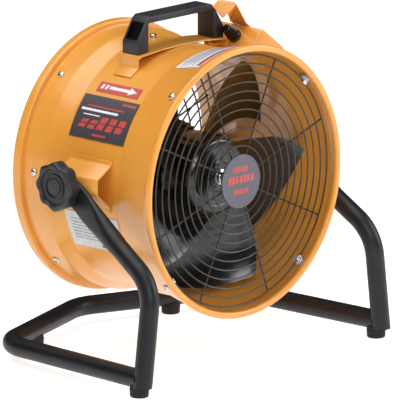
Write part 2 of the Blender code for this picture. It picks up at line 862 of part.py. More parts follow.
def foot(name, x, y, taper):
    profile = [
        (0.0, FOOT_TOP_Z),
        (FOOT_R, FOOT_TOP_Z),
        (FOOT_R * taper, 0.0012),
        (FOOT_R * taper - 0.0012, 0.0),
        (0.0, 0.0),
    ]
    return turned(name, profile, 24, black_rubber(), Matrix.Translation((x, y, 0.0)))


def feet():
    rise = (APEX_Y - REAR_BEND_Y) / REAR_X
    for label_side, side in (("left", -1.0), ("right", 1.0)):
        front = foot(f"front_{label_side}_foot", side * (FRONT_X - 0.0003), FRONT_FOOT_Y, 0.95)
        start = Vector((side * FRONT_X, LEG_Y + RAIL_INSET, RAIL_Z))
        end = Vector((side * REAR_X, REAR_BEND_Y, RAIL_Z))
        run = (end - start).normalized()
        start -= run * 0.03
        boolean(front, cutter_rod(f"front_{label_side}_rail", TUBE_R + FOOT_GAP, start, run, 0.08, 24))
        toe = (side * (FRONT_X + LEAN * (RAIL_Z - 0.013)), LEG_Y, TOE_Z - GAP)
        notch = cutter_rod(f"front_{label_side}_toe", TUBE_R + 0.0009, toe, (0.0, 0.0, 1.0), 0.03, 24)
        boolean(front, notch)
        y = APEX_Y - rise * REAR_FOOT_X
        rear = foot(f"rear_{label_side}_foot", side * REAR_FOOT_X, y, 0.95)
        start = Vector((side * (REAR_FOOT_X + 0.03), y - rise * 0.03, RAIL_Z))
        turn = Vector((-side, rise, 0.0)).normalized()
        boolean(rear, cutter_rod(f"rear_{label_side}_rail", TUBE_R + FOOT_GAP, start, turn, 0.064, 24))


# ---------------------------------------------------------------- tilt joint


def side_bracket(name, side):
    def on_lip(degrees):
        angle = math.radians(degrees)
        return (side * BRACKET_LIP_R * math.sin(angle), AXIS_Z + BRACKET_LIP_R * math.cos(angle))

    outline = [on_lip(BRACKET_LIPS[0]), on_lip(BRACKET_LIPS[1])]
    outline.append((side * BRACKET_WEB_X, BRACKET_WEB_Z[1]))
    outline.append((side * BRACKET_WEB_X, BRACKET_WEB_Z[0]))
    outline += [on_lip(BRACKET_LIPS[2]), on_lip(BRACKET_LIPS[3])]
    bracket = strip(name, outline, BRACKET_Y, BRACKET_T, orange_paint())
    hole = cutter_rod(f"{name}_hole", STUD_R + GAP, (side * 0.165, 0.0, PIVOT_Z), (side, 0.0, 0.0), 0.04)
    boolean(bracket, hole)
    return bracket


def axle_matrix(side, x):
    """A frame on the tilt axis at a distance from the middle, local Z outward."""
    turn = Matrix.Rotation(side * math.radians(90.0), 4, "Y")
    return Matrix.Translation((side * x, 0.0, PIVOT_Z)) @ turn


def knob_ring(radius, lobe, height):
    ring = []
    steps = KNOB_LOBES * 5
    for step in range(steps):
        angle = math.tau * step / steps
        reach = radius + lobe * math.cos(KNOB_LOBES * angle)
        ring.append((reach * math.cos(angle), reach * math.sin(angle), height))
    return ring


def knob(name, side):
    """A lobed clamp knob with a dished face and a raised boss, bored from behind for its stud."""
    rings = [
        knob_ring(KNOB_R * 0.90, KNOB_LOBE * 0.6, 0.0),
        knob_ring(KNOB_R, KNOB_LOBE, 0.0035),
        knob_ring(KNOB_R, KNOB_LOBE, KNOB_T - 0.0030),
        knob_ring(KNOB_R * 0.93, KNOB_LOBE * 0.6, KNOB_T),
        knob_ring(KNOB_R * 0.78, 0.0, KNOB_T),
        knob_ring(KNOB_R * 0.72, 0.0, KNOB_T - 0.0030),
        knob_ring(KNOB_R * 0.40, 0.0, KNOB_T - 0.0030),
        knob_ring(KNOB_R * 0.36, 0.0, KNOB_T - 0.0008),
    ]
    place = axle_matrix(side, KNOB_BACK_X)
    obj = loft(name, rings, black_plastic(), place)
    bore_end = STUD_X[1] + GAP
    bore = cutter_rod(f"{name}_bore", STUD_R + GAP, (side * (KNOB_BACK_X - 0.01), 0.0, PIVOT_Z),
                      (side, 0.0, 0.0), bore_end - KNOB_BACK_X + 0.01)
    boolean(obj, bore)
    return obj


def stud(name, side):
    place = axle_matrix(side, STUD_X[0])
    return add(name, rod_mesh(name, STUD_R, STUD_X[1] - STUD_X[0], 12), zinc_plate(), place)


def clamp_nut(name, side):
    place = axle_matrix(side, NUT_X[0]) @ Matrix.Rotation(math.radians(30.0), 4, "Z")
    nut = add(name, rod_mesh(name, NUT_R, NUT_X[1] - NUT_X[0], 6), zinc_plate(), place)
    bore = cutter_rod(f"{name}_bore", STUD_R + GAP, (side * 0.165, 0.0, PIVOT_Z), (side, 0.0, 0.0), 0.03)
    boolean(nut, bore)
    return nut


# ---------------------------------------------------------------- handle


def saddle_outline():
    left = []
    for x in (SADDLE_TOE_X, SADDLE_ARCH[2][0]):
        left.append((-x, AXIS_Z + math.sqrt(SADDLE_TOE_R ** 2 - x ** 2)))
    left += [(-x, z) for x, z in (SADDLE_ARCH[2], SADDLE_ARCH[1])]
    fold = (SADDLE_RIGHT_X, saddle_top(SADDLE_RIGHT_X) - GAP - SADDLE_T / 2.0)
    return left + [SADDLE_ARCH[0], SADDLE_ARCH[1], fold, SADDLE_RIGHT_TAB]


def saddle_top(x):
    """Height of the saddle's upper face on its outer straight run."""
    (x0, z0), (x1, z1) = SADDLE_ARCH[1], SADDLE_ARCH[2]
    rise = (z1 - z0) / (x1 - x0)
    return z0 + rise * (x - x0) + SADDLE_T / 2.0 * math.sqrt(1.0 + rise ** 2) + GAP


def handle_saddle():
    saddle = strip("handle_saddle", saddle_outline(), SADDLE_Y, SADDLE_T, orange_paint())
    front, rear = SADDLE_TAB_Y
    for side, near, far in (("front", front - 0.010, front), ("rear", rear, rear + 0.010)):
        notch = box_mesh(f"saddle_notch_{side}", (-0.110, near, 0.350), (-0.0760, far, SADDLE_TAB_TOP))
        boolean(saddle, add(f"saddle_notch_{side}", notch, None, cutter=True))
    for side in (-1.0, 1.0):
        boolean(saddle, handle_bore(f"saddle_bore_{side:.0f}", side, 0.376, 0.02))
    return saddle


def handle_bore(name, side, z, length):
    start = (side * HANDLE_SCREW_X, sum(HANDLE_Y) / 2.0, z)
    return cutter_rod(name, SCREW_R + GAP, start, (0.0, 0.0, 1.0), length, 10)


def handle():
    half = [
        (HANDLE_IN_X, saddle_top(HANDLE_IN_X)),
        (HANDLE_OUT_X, saddle_top(HANDLE_OUT_X)),
        (HANDLE_OUT_X, HANDLE_SIDE_Z),
        HANDLE_SHOULDER,
        HANDLE_TOP,
    ]
    inside = [(HANDLE_IN_X, HANDLE_SIDE_Z), HANDLE_UNDER]
    outline = half + [(-x, z) for x, z in reversed(half)]
    outline += [(-x, z) for x, z in inside] + list(reversed(inside))
    grip = prism("handle", outline, HANDLE_Y, black_plastic())
    bevel(grip, 0.0012, 1, 50.0)
    for side in (-1.0, 1.0):
        pocket = [(0.0810, 0.4118), (0.0690, 0.4330), (0.0618, 0.4280), (0.0645, 0.4150)]
        pocket = [(side * x, z) for x, z in pocket]
        depth = (HANDLE_Y[0] + 0.005, HANDLE_Y[1] - 0.005)
        cut = prism(f"handle_pocket_{side:.0f}", pocket, depth, None, cutter=True)
        boolean(grip, cut)
        boolean(grip, handle_bore(f"handle_bore_{side:.0f}", side, 0.380, 0.0225))
    return grip


def handle_screws():
    for label_side, side in (("left", -1.0), ("right", 1.0)):
        seat = saddle_top(HANDLE_SCREW_X) - SADDLE_T * 1.01 - 2.0 * GAP - 0.0006
        turn = Matrix.Rotation(math.pi, 4, "X")
        place = Matrix.Translation((side * HANDLE_SCREW_X, sum(HANDLE_Y) / 2.0, seat)) @ turn
        pan_screw(f"handle_screw_{label_side}", 0.0045, 0.0026, SCREW_R, 0.0105, zinc_plate(), place)


# ---------------------------------------------------------------- switch box


def box_frame():
    return on_drum(BOX_ANGLE, 0.0, 0.0)


def switch_box():
    """A folded cover with rounded upper edges, open towards the drum and coped to it."""
    low = (-BOX_HALF_W, BOX_Y[0], 0.140)
    high = (BOX_HALF_W, BOX_Y[1], BOX_TOP_R)
    cover = add("switch_box", box_mesh("switch_box", low, high), orange_paint(), box_frame())
    round_edges = cover.modifiers.new("Bevel", "BEVEL")
    round_edges.width = 0.0030
    round_edges.segments = 2
    hollow_low = (-BOX_HALF_W + BOX_WALL, BOX_Y[0] + BOX_WALL, 0.120)
    hollow_high = (BOX_HALF_W - BOX_WALL, BOX_Y[1] - BOX_WALL, BOX_TOP_R - BOX_WALL)
    hollow = add("switch_box_hollow", box_mesh("switch_box_hollow", hollow_low, hollow_high), None,
                 box_frame(), cutter=True)
    boolean(cover, hollow)
    drum = rod_mesh("switch_box_drum", WAIST_R + GAP, 0.30, 72)
    place = drum_matrix() @ Matrix.Translation((0.0, 0.0, -0.15))
    boolean(cover, add("switch_box_drum", drum, None, place, cutter=True))
    return cover


def cable_gland():
    """A ribbed strain relief that stands out of the cover's upper side wall."""
    profile = [(0.0, GLAND_LENGTH), (0.0040, GLAND_LENGTH), (0.0050, GLAND_LENGTH - 0.001)]
    ribs = 4
    pitch = (GLAND_LENGTH - 0.007) / ribs
    for rib in range(ribs):
        top = GLAND_LENGTH - 0.001 - rib * pitch
        reach = 0.0052 + 0.0005 * rib
        profile.append((reach, top - 0.20 * pitch))
        profile.append((reach, top - 0.65 * pitch))
        profile.append((reach - 0.0012, top - 0.75 * pitch))
    profile += [(GLAND_R, 0.0055), (GLAND_R, 0.0005), (GLAND_R - 0.0005, 0.0), (0.0, 0.0)]
    turn = Matrix.Rotation(math.radians(-90.0), 4, "Y")
    place = box_frame() @ Matrix.Translation((-BOX_HALF_W - GAP, GLAND_Y, GLAND_RADIUS)) @ turn
    return turned("cable_gland", profile, 16, black_plastic(), place)


def capacitor():
    place = box_frame() @ Matrix.Translation((0.0, -0.055, 0.179)) @ lathe_turn()
    return add("capacitor", rod_mesh("capacitor", 0.0140, 0.050, 20), motor_black(), place)


def toggle_place(y):
    return box_frame() @ Matrix.Translation((0.0, y, TOGGLE_RADIUS)) @ lathe_turn()


def toggle_bush():
    start = BOX_Y[1] + GAP
    profile = [
        (0.0070, 0.0030),
        (0.0070, 0.0),
        (0.0042, 0.0),
        (0.0042, 0.0075),
        (0.0058, 0.0075),
        (0.0058, 0.0030),
    ]
    return turned("toggle_bush", profile, 16, zinc_plate(), toggle_place(start), closed=True)


def toggle_lever():
    profile = [(0.0, 0.0165), (0.0016, 0.0160), (0.0025, 0.0130), (0.0015, 0.0045), (0.0030, 0.0018),
               (0.0034, 0.0), (0.0026, -0.0020), (0.0, -0.0032)]
    return turned("toggle_lever", profile, 12, zinc_plate(), toggle_place(TOGGLE_PIVOT_Y))


def cord_hook():
    """A folded sheet hook: a foot on the cover, a slanting leg and a flap that faces the outlet."""
    corners = {
        "foot_rear": (0.1104, -0.0080, 0.4018),
        "foot_front": (0.1104, -0.0360, 0.4018),
        "rear": (0.1004, -0.0080, 0.4097),
        "front": (0.1004, -0.0360, 0.4097),
        "low": (0.0620, -0.0400, 0.4290),
        "high": (0.0760, -0.0400, 0.4400),
        "tip": (0.0470, -0.0400, 0.4495),
        "end": (0.0350, -0.0400, 0.4420),
        "under": (0.0530, -0.0400, 0.4240),
    }
    bm = bmesh.new()
    made = {key: bm.verts.new(place) for key, place in corners.items()}
    for face in (("foot_rear", "foot_front", "front", "rear"), ("rear", "front", "high"),
                 ("rear", "high", "low"), ("low", "high", "tip", "end", "under")):
        bm.faces.new([made[key] for key in face])
    hook = add("cord_hook", mesh_from("cord_hook", bm), orange_paint())
    solidify(hook, 0.0018)
    return hook


def main():
    global scene_parts, scene_cutters
    clear_scene()
    scene_parts = collection("axial_blower")
    scene_cutters = collection("cutters")
    scene_cutters.hide_render = True
    housing_shell()
    front_grille()
    front_badge()
    rear_grille()
    drum_screws()
    impeller()
    hub_nut()
    motor_shaft()
    motor_body()
    motor_end_cover()
    reach_front = motor_strap("motor_strap_front", MOTOR_BOLT_Y[0], 0.0)
    reach_rear = motor_strap("motor_strap_rear", MOTOR_BOLT_Y[1], 90.0)
    motor_screws((reach_front, reach_rear))
    labels()
    base_tube()
    feet()
    for label_side, side in (("left", -1.0), ("right", 1.0)):
        leg_tube(f"{label_side}_leg", side)
        side_bracket(f"{label_side}_bracket", side)
        knob(f"{label_side}_knob", side)
        stud(f"{label_side}_stud", side)
        clamp_nut(f"{label_side}_nut", side)
    handle_saddle()
    handle()
    handle_screws()
    switch_box()
    cable_gland()
    capacitor()
    toggle_bush()
    toggle_lever()
    cord_hook()


main()
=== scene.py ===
"""Looks for the portable axial blower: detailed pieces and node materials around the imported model.

Metres, +Z up. X = 0 is the mid-plane, Y = 0 the tilt axis, -Y the outlet side, Z = 0 the floor.
"""
import json
import bmesh
import bpy
from math import atan2, copysign, cos, hypot, pi, radians, sin, sqrt, tan, tau
from mathutils import Matrix, Vector


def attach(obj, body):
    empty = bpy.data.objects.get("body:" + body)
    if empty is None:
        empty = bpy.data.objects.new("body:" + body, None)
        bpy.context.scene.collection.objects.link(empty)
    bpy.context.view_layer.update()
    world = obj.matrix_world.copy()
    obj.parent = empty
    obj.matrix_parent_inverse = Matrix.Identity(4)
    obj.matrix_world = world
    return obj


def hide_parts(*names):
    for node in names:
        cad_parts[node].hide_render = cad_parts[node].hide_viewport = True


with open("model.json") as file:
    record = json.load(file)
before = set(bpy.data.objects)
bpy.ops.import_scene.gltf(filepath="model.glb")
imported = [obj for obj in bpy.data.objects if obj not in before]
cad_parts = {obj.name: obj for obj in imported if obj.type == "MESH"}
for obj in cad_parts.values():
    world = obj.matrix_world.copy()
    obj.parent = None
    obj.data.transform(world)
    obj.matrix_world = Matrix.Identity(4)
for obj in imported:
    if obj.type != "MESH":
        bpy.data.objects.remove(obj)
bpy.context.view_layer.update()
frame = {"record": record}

BODIES = frame["record"]["behaviour"]["bodies"]
BODY_OF = {node: body for body, group in BODIES.items() for node in group}

# ---------------- sizes, as in the CAD part

PIVOT_Z = 0.2417
AXIS_Z = 0.2345
CLOCK = radians(2.5)
GAP = 0.0003  # clearance between neighbours

# Drum. DRUM_LINE is its outer radius along Y.
SHEET = 0.0016
LIP_R = 0.175
WAIST_R = 0.1602
INLET_R = 0.169
FRONT_Y = -0.1325
REAR_Y = 0.11
REAR_LIP_Y = 0.094
WAIST_FRONT_Y = -0.064
WAIST_REAR_Y = 0.038
INLET_Y = 0.06
FLARE_R = 0.1712
DRUM_LINE = (
    (-0.118, FLARE_R), (-0.1, 0.1678), (-0.08, 0.1632), (WAIST_FRONT_Y, WAIST_R),
    (WAIST_REAR_Y, WAIST_R), (0.05, 0.1652), (INLET_Y, 0.1685), (REAR_Y, INLET_R),
)
DRUM_STEPS = 160

# Wire guards, badge and fixings.
RING_R = [0.03] + [0.045 + 0.0116 * index for index in range(11)]
RING_OUTER = 0.161
WIRE_R = 0.00105
SPOKE_R = 0.0012
SPOKES = 8
SPOKE_LIFT = 0.0022
FRONT_RINGS_Y = -0.1198
REAR_RINGS_Y = 0.0845
BADGE_R = 0.0345
BADGE_T = 0.0029
BADGE_Y = FRONT_RINGS_Y - 0.0013 - GAP - BADGE_T
FRONT_SCREW_Y = -0.1168
FRONT_SCREW_RISE = 0.0014
REAR_SCREW_Y = 0.0815
DRUM_SCREW_R = 0.0048
DRUM_SCREW_H = 0.003

# Impeller and motor. A blade's front and rear edges are (degrees, Y) at each of BLADE_RADII.
BLADES = 5
BLADE_T = 0.0017
BLADE_ROWS = 20
BLADE_BULGE = 0.09
BLADE_RADII = (0.044, 0.062, 0.085, 0.115, 0.1487)
BLADE_FRONT = ((-34.0, -0.078), (-20.0, -0.078), (-8.0, -0.081), (1.0, -0.086),
               (13.0, -0.092))
BLADE_REAR = ((30.0, -0.042), (43.0, -0.042), (54.0, -0.038), (64.0, -0.03),
              (76.0, -0.018))
HUB_R = 0.052
HUB_FRONT_Y = -0.086
HUB_REAR_Y = -0.033
MOTOR_R = 0.06
MOTOR_FRONT_Y = -0.012
MOTOR_BACK_Y = 0.064
MOTOR_REAR_Y = 0.076
MOTOR_FINS = 36
MOTOR_BOLT_Y = (0.038, 0.0765)
STRAP_T = 0.0028
STRAP_HALF_W = 0.011

# Stand. The tube's centre line runs from the front corners round the rear bends to the apex.
TUBE_R = 0.0125
LEG_R = 0.0122
RAIL_Z = 0.0228
FRONT_X = 0.2157
LEG_Y = -0.1634
REAR_X = 0.204
REAR_BEND_Y = 0.0932
APEX_Y = 0.1668
LEAN = 0.1256
LEG_RISE = 0.62
EYE_HALF_W = 0.0175
EYE_HALF_T = 0.004
EYE_X = 0.1883
FRONT_FOOT_Y = -0.156
REAR_FOOT_X = 0.124

# Tilt joint.
BRACKET_R = 0.1617
KNOB_X = 0.1926
KNOB_R = 0.0302
KNOB_LOBE = 0.0018
KNOB_T = 0.0191
KNOB_STEPS = 160
STUD_X = 0.171
NUT_X = 0.174

# Switch box, in the frame of box_place: X across it, Z out from the drum's axis.
BOX_ANGLE = radians(38.0)
BOX_HALF_W = 0.026
BOX_LOW_R = 0.1572
BOX_TOP_R = 0.198
BOX_Y = (-0.064, 0.02)
GLAND_H = 0.024

# Handle and its saddle.
HANDLE_Y = (-0.0185, 0.01)
HANDLE_OUT_X = 0.0773
HANDLE_IN_X = 0.058
HANDLE_SCREW_X = 0.0678
SADDLE_T = 0.0018
SADDLE_ARCH = ((0.04, 0.3948), (0.0785, 0.3911))

# Labels.
LABEL_T = 0.0005
LABEL_OFF = 0.0007
PRINT_T = 0.00008

# Camera, at the photograph's angle. The lens is in millimetres on a 36 mm sensor.
CAMERA_TURN = radians(-45.74)
CAMERA_RISE = radians(13.16)
CAMERA_TARGET = (0.053, 0.0, 0.1813)
CAMERA_AWAY = 12.0
CAMERA_LENS = 848.205

TO_REAR = Matrix.Rotation(radians(-90.0), 4, "X")  # turns local Z to +Y
QUARTER = Matrix.Rotation(radians(90.0), 4, "Z")
DRUM = Matrix.Translation((0.0, 0.0, AXIS_Z)) @ TO_REAR

# ---------------- finishes


def feed(tree, node, inputs):
    """Gives each named input of the node its value, or a link from a socket."""
    for key, value in inputs.items():
        if isinstance(value, bpy.types.NodeSocket):
            tree.links.new(value, node.inputs[key])
        else:
            node.inputs[key].default_value = value
    return node


class Finish:
    """Builds one node material from noise in the object's own coordinates."""

    def __init__(self, name, roughness, metallic=0.0, coat=0.0, coat_roughness=0.1, specular=0.5):
        self.material = bpy.data.materials.new(name)
        self.material.use_nodes = True
        self.tree = self.material.node_tree
        self.shader = self.tree.nodes["Principled BSDF"]
        self.set({"Roughness": roughness, "Metallic": metallic, "Coat Weight": coat,
                  "Coat Roughness": coat_roughness, "Specular IOR Level": specular})
        self.place = self.add("TexCoord", {}).outputs["Object"]

    def set(self, inputs):
        feed(self.tree, self.shader, inputs)

    def add(self, kind, inputs):
        return feed(self.tree, self.tree.nodes.new("ShaderNode" + kind), inputs)

    def noise(self, scale, detail=3.0, stretch=None):
        place = self.place
        if stretch:
            place = self.add("Mapping", {"Vector": place, "Scale": stretch}).outputs["Vector"]
        node = self.add("TexNoise", {"Vector": place, "Scale": scale, "Detail": detail})
        return node.outputs["Fac"]

    def ramp(self, value, *stops):
        """Each stop is a position and a colour, or a position and a grey level."""
        node = self.add("ValToRGB", {"Fac": value})
        for element, (at, colour) in zip(node.color_ramp.elements, stops):
            element.position = at
            element.color = (*(colour if isinstance(colour, tuple) else (colour,) * 3), 1.0)
        return node.outputs["Color"]

    def colour(self, share, first, second):
        """The base colour: the socket first where share is 0, the colour second where it is 1."""
        node = self.tree.nodes.new("ShaderNodeMix")
        node.data_type = "RGBA"
        feed(self.tree, node, {0: share, 6: first, 7: (*second, 1.0)})
        self.set({"Base Color": node.outputs[2]})

    def rough(self, value, low, high):
        """Roughness from low to high with this noise."""
        node = self.add("MapRange", {"Value": value, "From Min": 0.3, "From Max": 0.7,
                                     "To Min": low, "To Max": high})
        self.set({"Roughness": node.outputs["Result"]})

    def bump(self, height, strength, distance, under=None):
        inputs = {"Height": height, "Strength": strength, "Distance": distance}
        if under is not None:
            inputs["Normal"] = under
        normal = self.add("Bump", inputs).outputs["Normal"]
        self.set({"Normal": normal})
        return normal


def paint(name, deep, plain, worn, rough, coat, peel, cloud=9.0, speck=160.0, metallic=0.0,
          shine=0.5):
    """Baked powder paint: slow colour drift, orange-peel texture, rubbed specks, dusty patches."""
    made = Finish(name, rough[0], metallic, coat, 0.22, shine)
    body = made.ramp(made.noise(cloud, 4.0), (0.3, deep), (0.62, plain))
    rubbed = made.ramp(made.noise(speck, 6.0), (0.7, 0.0), (0.78, 1.0))
    made.colour(rubbed, body, worn)
    made.rough(made.noise(cloud * 3.1, 5.0), *rough)
    coarse = made.bump(made.noise(420.0, 2.0), peel, 0.0006)
    made.bump(made.noise(2600.0, 2.0), peel * 0.5, 0.0002, coarse)
    return made.material


def moulded(name, deep, plain, rough, grain, cloud=22.0, shine=0.3):
    """Moulded plastic or rubber: fine grain, uneven sheen and pale scuffs along one direction."""
    made = Finish(name, rough[0], specular=shine)
    body = made.ramp(made.noise(cloud, 4.0), (0.32, deep), (0.66, plain))
    scuffs = made.ramp(made.noise(70.0, 6.0, (1.0, 7.0, 1.0)), (0.68, 0.0), (0.8, 0.55))
    pale = tuple(min(1.0, value * 2.4 + 0.012) for value in plain)
    made.colour(scuffs, body, pale)
    made.rough(made.noise(48.0, 5.0), *rough)
    made.bump(made.noise(1500.0, 3.0), grain, 0.0004)
    return made.material


def plated(name, deep, plain, rough):
    """Bright plating: fine drawn lines, cloudy tone and dull spots."""
    brushed = (1.0, 1.0, 9.0)
    made = Finish(name, rough[0], 1.0)
    body = made.ramp(made.noise(120.0, 4.0), (0.3, deep), (0.68, plain))
    made.set({"Base Color": body})
    made.rough(made.noise(260.0, 5.0, brushed), *rough)
    made.bump(made.noise(900.0, 3.0, brushed), 0.12, 0.0002)
    return made.material


def printed(name, deep, plain, rough):
    """Printed film: faint mottling, a satin top coat and light wear."""
    made = Finish(name, rough[0], 0.0, 0.25, 0.25)
    body = made.ramp(made.noise(240.0, 4.0), (0.3, deep), (0.7, plain))
    worn = made.ramp(made.noise(320.0, 6.0), (0.7, 0.0), (0.82, 0.5))
    made.colour(worn, body, tuple(value * 0.5 + 0.22 for value in plain))
    made.rough(made.noise(150.0, 4.0), *rough)
    made.bump(made.noise(700.0, 3.0), 0.1, 0.0002)
    return made.material


ORANGE = paint("orange_powder_coat", (0.745, 0.3, 0.036), (0.815, 0.35, 0.048),
               (0.88, 0.45, 0.11), (0.28, 0.4), 0.48, 0.055)
BLACK = paint("black_powder_coat", (0.007, 0.007, 0.008), (0.012, 0.012, 0.014),
              (0.04, 0.04, 0.044), (0.34, 0.48), 0.0, 0.16, 14.0, 210.0, 0.0, 0.34)
BLADE = paint("impeller_black", (0.004, 0.004, 0.004), (0.007, 0.007, 0.006),
              (0.022, 0.022, 0.02), (0.12, 0.24), 0.4, 0.05, 16.0, 180.0, 0.0, 0.62)
MOTOR = paint("motor_enamel", (0.006, 0.006, 0.006), (0.01, 0.01, 0.011),
              (0.03, 0.03, 0.032), (0.24, 0.36), 0.3, 0.12, 20.0, 150.0, 0.0, 0.5)
WIRE = paint("wire_coating", (0.026, 0.022, 0.018), (0.044, 0.038, 0.031),
             (0.12, 0.11, 0.1), (0.3, 0.44), 0.15, 0.12, 30.0, 260.0, 0.25)
GLAND = moulded("gland_rubber", (0.004, 0.004, 0.005), (0.007, 0.007, 0.008),
                (0.12, 0.24), 0.1, 60.0, 0.85)
# Painted shade: a near-black, matt lining for the handle's pockets, darker and duller than the
# plastic round them.
POCKET_SHADE = moulded("handle_pocket_painted_shade", (0.002, 0.002, 0.002), (0.003, 0.003, 0.004),
                 (0.7, 0.85), 0.2, 22.0, 0.1)
PLASTIC = moulded("black_moulding", (0.014, 0.014, 0.018), (0.022, 0.022, 0.027),
                  (0.4, 0.54), 0.22, 22.0, 0.48)
RUBBER = moulded("black_rubber_foot", (0.012, 0.012, 0.012), (0.02, 0.02, 0.02),
                 (0.62, 0.8), 0.4, 60.0)
CLIP = paint("clip_plating", (0.46, 0.52, 0.64), (0.58, 0.65, 0.78),
             (0.85, 0.88, 0.92), (0.3, 0.42), 0.2, 0.06, 60.0, 320.0)
ZINC = plated("bright_zinc", (0.5, 0.5, 0.49), (0.72, 0.73, 0.72), (0.16, 0.34))
BADGE = printed("badge_film", (0.082, 0.078, 0.1), (0.1, 0.096, 0.122), (0.38, 0.52))
DARK_FILM = printed("nameplate_film", (0.046, 0.038, 0.048), (0.066, 0.056, 0.068), (0.34, 0.5))
RED_FILM = printed("red_print", (0.48, 0.052, 0.045), (0.58, 0.085, 0.07), (0.36, 0.5))
WHITE_FILM = printed("white_print", (0.72, 0.72, 0.74), (0.86, 0.86, 0.88), (0.34, 0.48))
GREY_FILM = printed("grey_print", (0.2, 0.22, 0.27), (0.27, 0.29, 0.34), (0.36, 0.5))
SILVER_FILM = printed("silver_print", (0.52, 0.52, 0.52), (0.66, 0.66, 0.65), (0.3, 0.44))

# ---------------- shape tools


def made_object(name, bm, mat, matrix=None, angle=32.0):
    bmesh.ops.recalc_face_normals(bm, faces=bm.faces)
    mesh = bpy.data.meshes.new(name)
    bm.to_mesh(mesh)
    bm.free()
    mesh.materials.append(mat)
    mesh.shade_smooth()
    mesh.set_sharp_from_angle(angle=radians(angle))
    obj = bpy.data.objects.new(name, mesh)
    bpy.context.scene.collection.objects.link(obj)
    if matrix is not None:
        obj.matrix_world = matrix
    return obj


def settled(obj, angle=32.0):
    """Replaces the object's modifiers by the mesh that they make, and drops its cutters."""
    bpy.context.view_layer.update()
    graph = bpy.context.evaluated_depsgraph_get()
    mesh = bpy.data.meshes.new_from_object(obj.evaluated_get(graph))
    cutters = [modifier.object for modifier in obj.modifiers if modifier.type == "BOOLEAN"]
    obj.modifiers.clear()
    obj.data = mesh
    mesh.shade_smooth()
    mesh.set_sharp_from_angle(angle=radians(angle))
    for cutter in cutters:
        bpy.data.objects.remove(cutter, do_unlink=True)
    return obj


def joined(name, objects):
    """One object from several, in world coordinates."""
    bm = bmesh.new()
    mat = objects[0].data.materials[0]
    for obj in objects:
        mesh = obj.data.copy()
        mesh.transform(obj.matrix_world)
        bm.from_mesh(mesh)
        bpy.data.objects.remove(obj, do_unlink=True)
    return made_object(name, bm, mat)


def stands_for(piece, *nodes):
    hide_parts(*nodes)
    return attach(piece, BODY_OF[nodes[0]])


def detail(piece, body="housing"):
    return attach(piece, body)


def eased(profile, reach, closed=False, steps=4, skip=()):
    """The profile with its corners rounded, each within this reach of the corner."""
    points = [Vector(point) for point in profile]
    count = len(points)
    out = []
    for index, here in enumerate(points):
        if (not closed and index in (0, count - 1)) or index in skip:
            out.append(here)
            continue
        back = points[index - 1] - here
        ahead = points[(index + 1) % count] - here
        if back.angle(ahead, pi) > radians(172.0):
            out.append(here)
            continue
        near = min(reach, back.length * 0.45, ahead.length * 0.45)
        start = here + back.normalized() * near
        end = here + ahead.normalized() * near
        for step in range(steps + 1):
            share = step / steps
            out.append(start.lerp(here, share).lerp(here.lerp(end, share), share))
    return out


def skin(bm, rings):
    """Walls from each ring of corners to the next."""
    for first, second in zip(rings, rings[1:]):
        for step in range(len(first)):
            after = (step + 1) % len(first)
            bm.faces.new((first[step], first[after], second[after], second[step]))


def capped(bm, rings):
    """Walls from each ring to the next, and a face over each end."""
    skin(bm, rings)
    bm.faces.new(rings[0])
    bm.faces.new(rings[-1])


def slab(bm, grids):
    """Two facing grids of corners, and the wall round their rims."""
    rims = []
    for grid in grids:
        for first, second in zip(grid, grid[1:]):
            for step in range(len(first) - 1):
                bm.faces.new((first[step], first[step + 1], second[step + 1], second[step]))
        right = [row[-1] for row in grid[1:]]
        left = [row[0] for row in grid[-2:0:-1]]
        rims.append(grid[0] + right + grid[-1][-2::-1] + left)
    skin(bm, rims)


def raised(profile, height):
    """The profile moved along the axis to this height."""
    return [(radius, level + height) for radius, level in profile]


def on_drum(angle, radius, y):
    """A place at this angle round the drum from its top, with Z pointing out from its axis."""
    place = Matrix.Translation((0.0, y, AXIS_Z)) @ Matrix.Rotation(angle, 4, "Y")
    return place @ Matrix.Translation((0.0, 0.0, radius))


def round_drum(angle, radius, y):
    """The point at this angle round the drum from its top."""
    return (radius * sin(angle), y, AXIS_Z + radius * cos(angle))


def turned(name, profile, steps, mat, matrix=DRUM, closed=False, angle=32.0):
    """A turned body from (radius, height) points."""
    bm = bmesh.new()
    rings = []
    for reach, height in profile:
        if reach < 1e-7:
            rings.append([bm.verts.new((0.0, 0.0, height))])
            continue
        ring = []
        for step in range(steps):
            turn = tau * step / steps
            ring.append(bm.verts.new((reach * cos(turn), reach * sin(turn), height)))
        rings.append(ring)
    pairs = list(zip(rings, rings[1:]))
    if closed:
        pairs.append((rings[-1], rings[0]))
    for first, second in pairs:
        for step in range(steps):
            after = (step + 1) % steps
            corners = [first[step % len(first)], first[after % len(first)],
                       second[after % len(second)], second[step % len(second)]]
            unique = list(dict.fromkeys(corners))
            if len(unique) > 2:
                bm.faces.new(unique)
    return made_object(name, bm, mat, matrix, angle)


def swept(name, points, radius, mat, cyclic, sides):
    """A round bar along a run of points. radius is one size, or one for each point."""
    bm = bmesh.new()
    rings = []
    count = len(points)
    side = None
    for index, point in enumerate(points):
        ahead = points[(index + 1) % count] if cyclic or index < count - 1 else point
        behind = points[index - 1] if cyclic or index else point
        along = (Vector(ahead) - Vector(behind)).normalized()
        if side is None:
            side = along.orthogonal().normalized()
        side = (side - along * side.dot(along)).normalized()
        other = along.cross(side)
        size = radius[index] if isinstance(radius, tuple) else radius
        ring = []
        for step in range(sides):
            turn = tau * step / sides
            out = side * cos(turn) + other * sin(turn)
            ring.append(bm.verts.new(Vector(point) + out * size))
        rings.append(ring)
    if cyclic:
        # The last ring meets the first one at whichever of its corners is nearest.
        last = rings[-1]
        gap = [(corner.co - rings[0][0].co).length for corner in last]
        shift = gap.index(min(gap))
        skin(bm, rings)
        skin(bm, [last[shift:] + last[:shift], rings[0]])
    else:
        capped(bm, rings)
    return made_object(name, bm, mat)


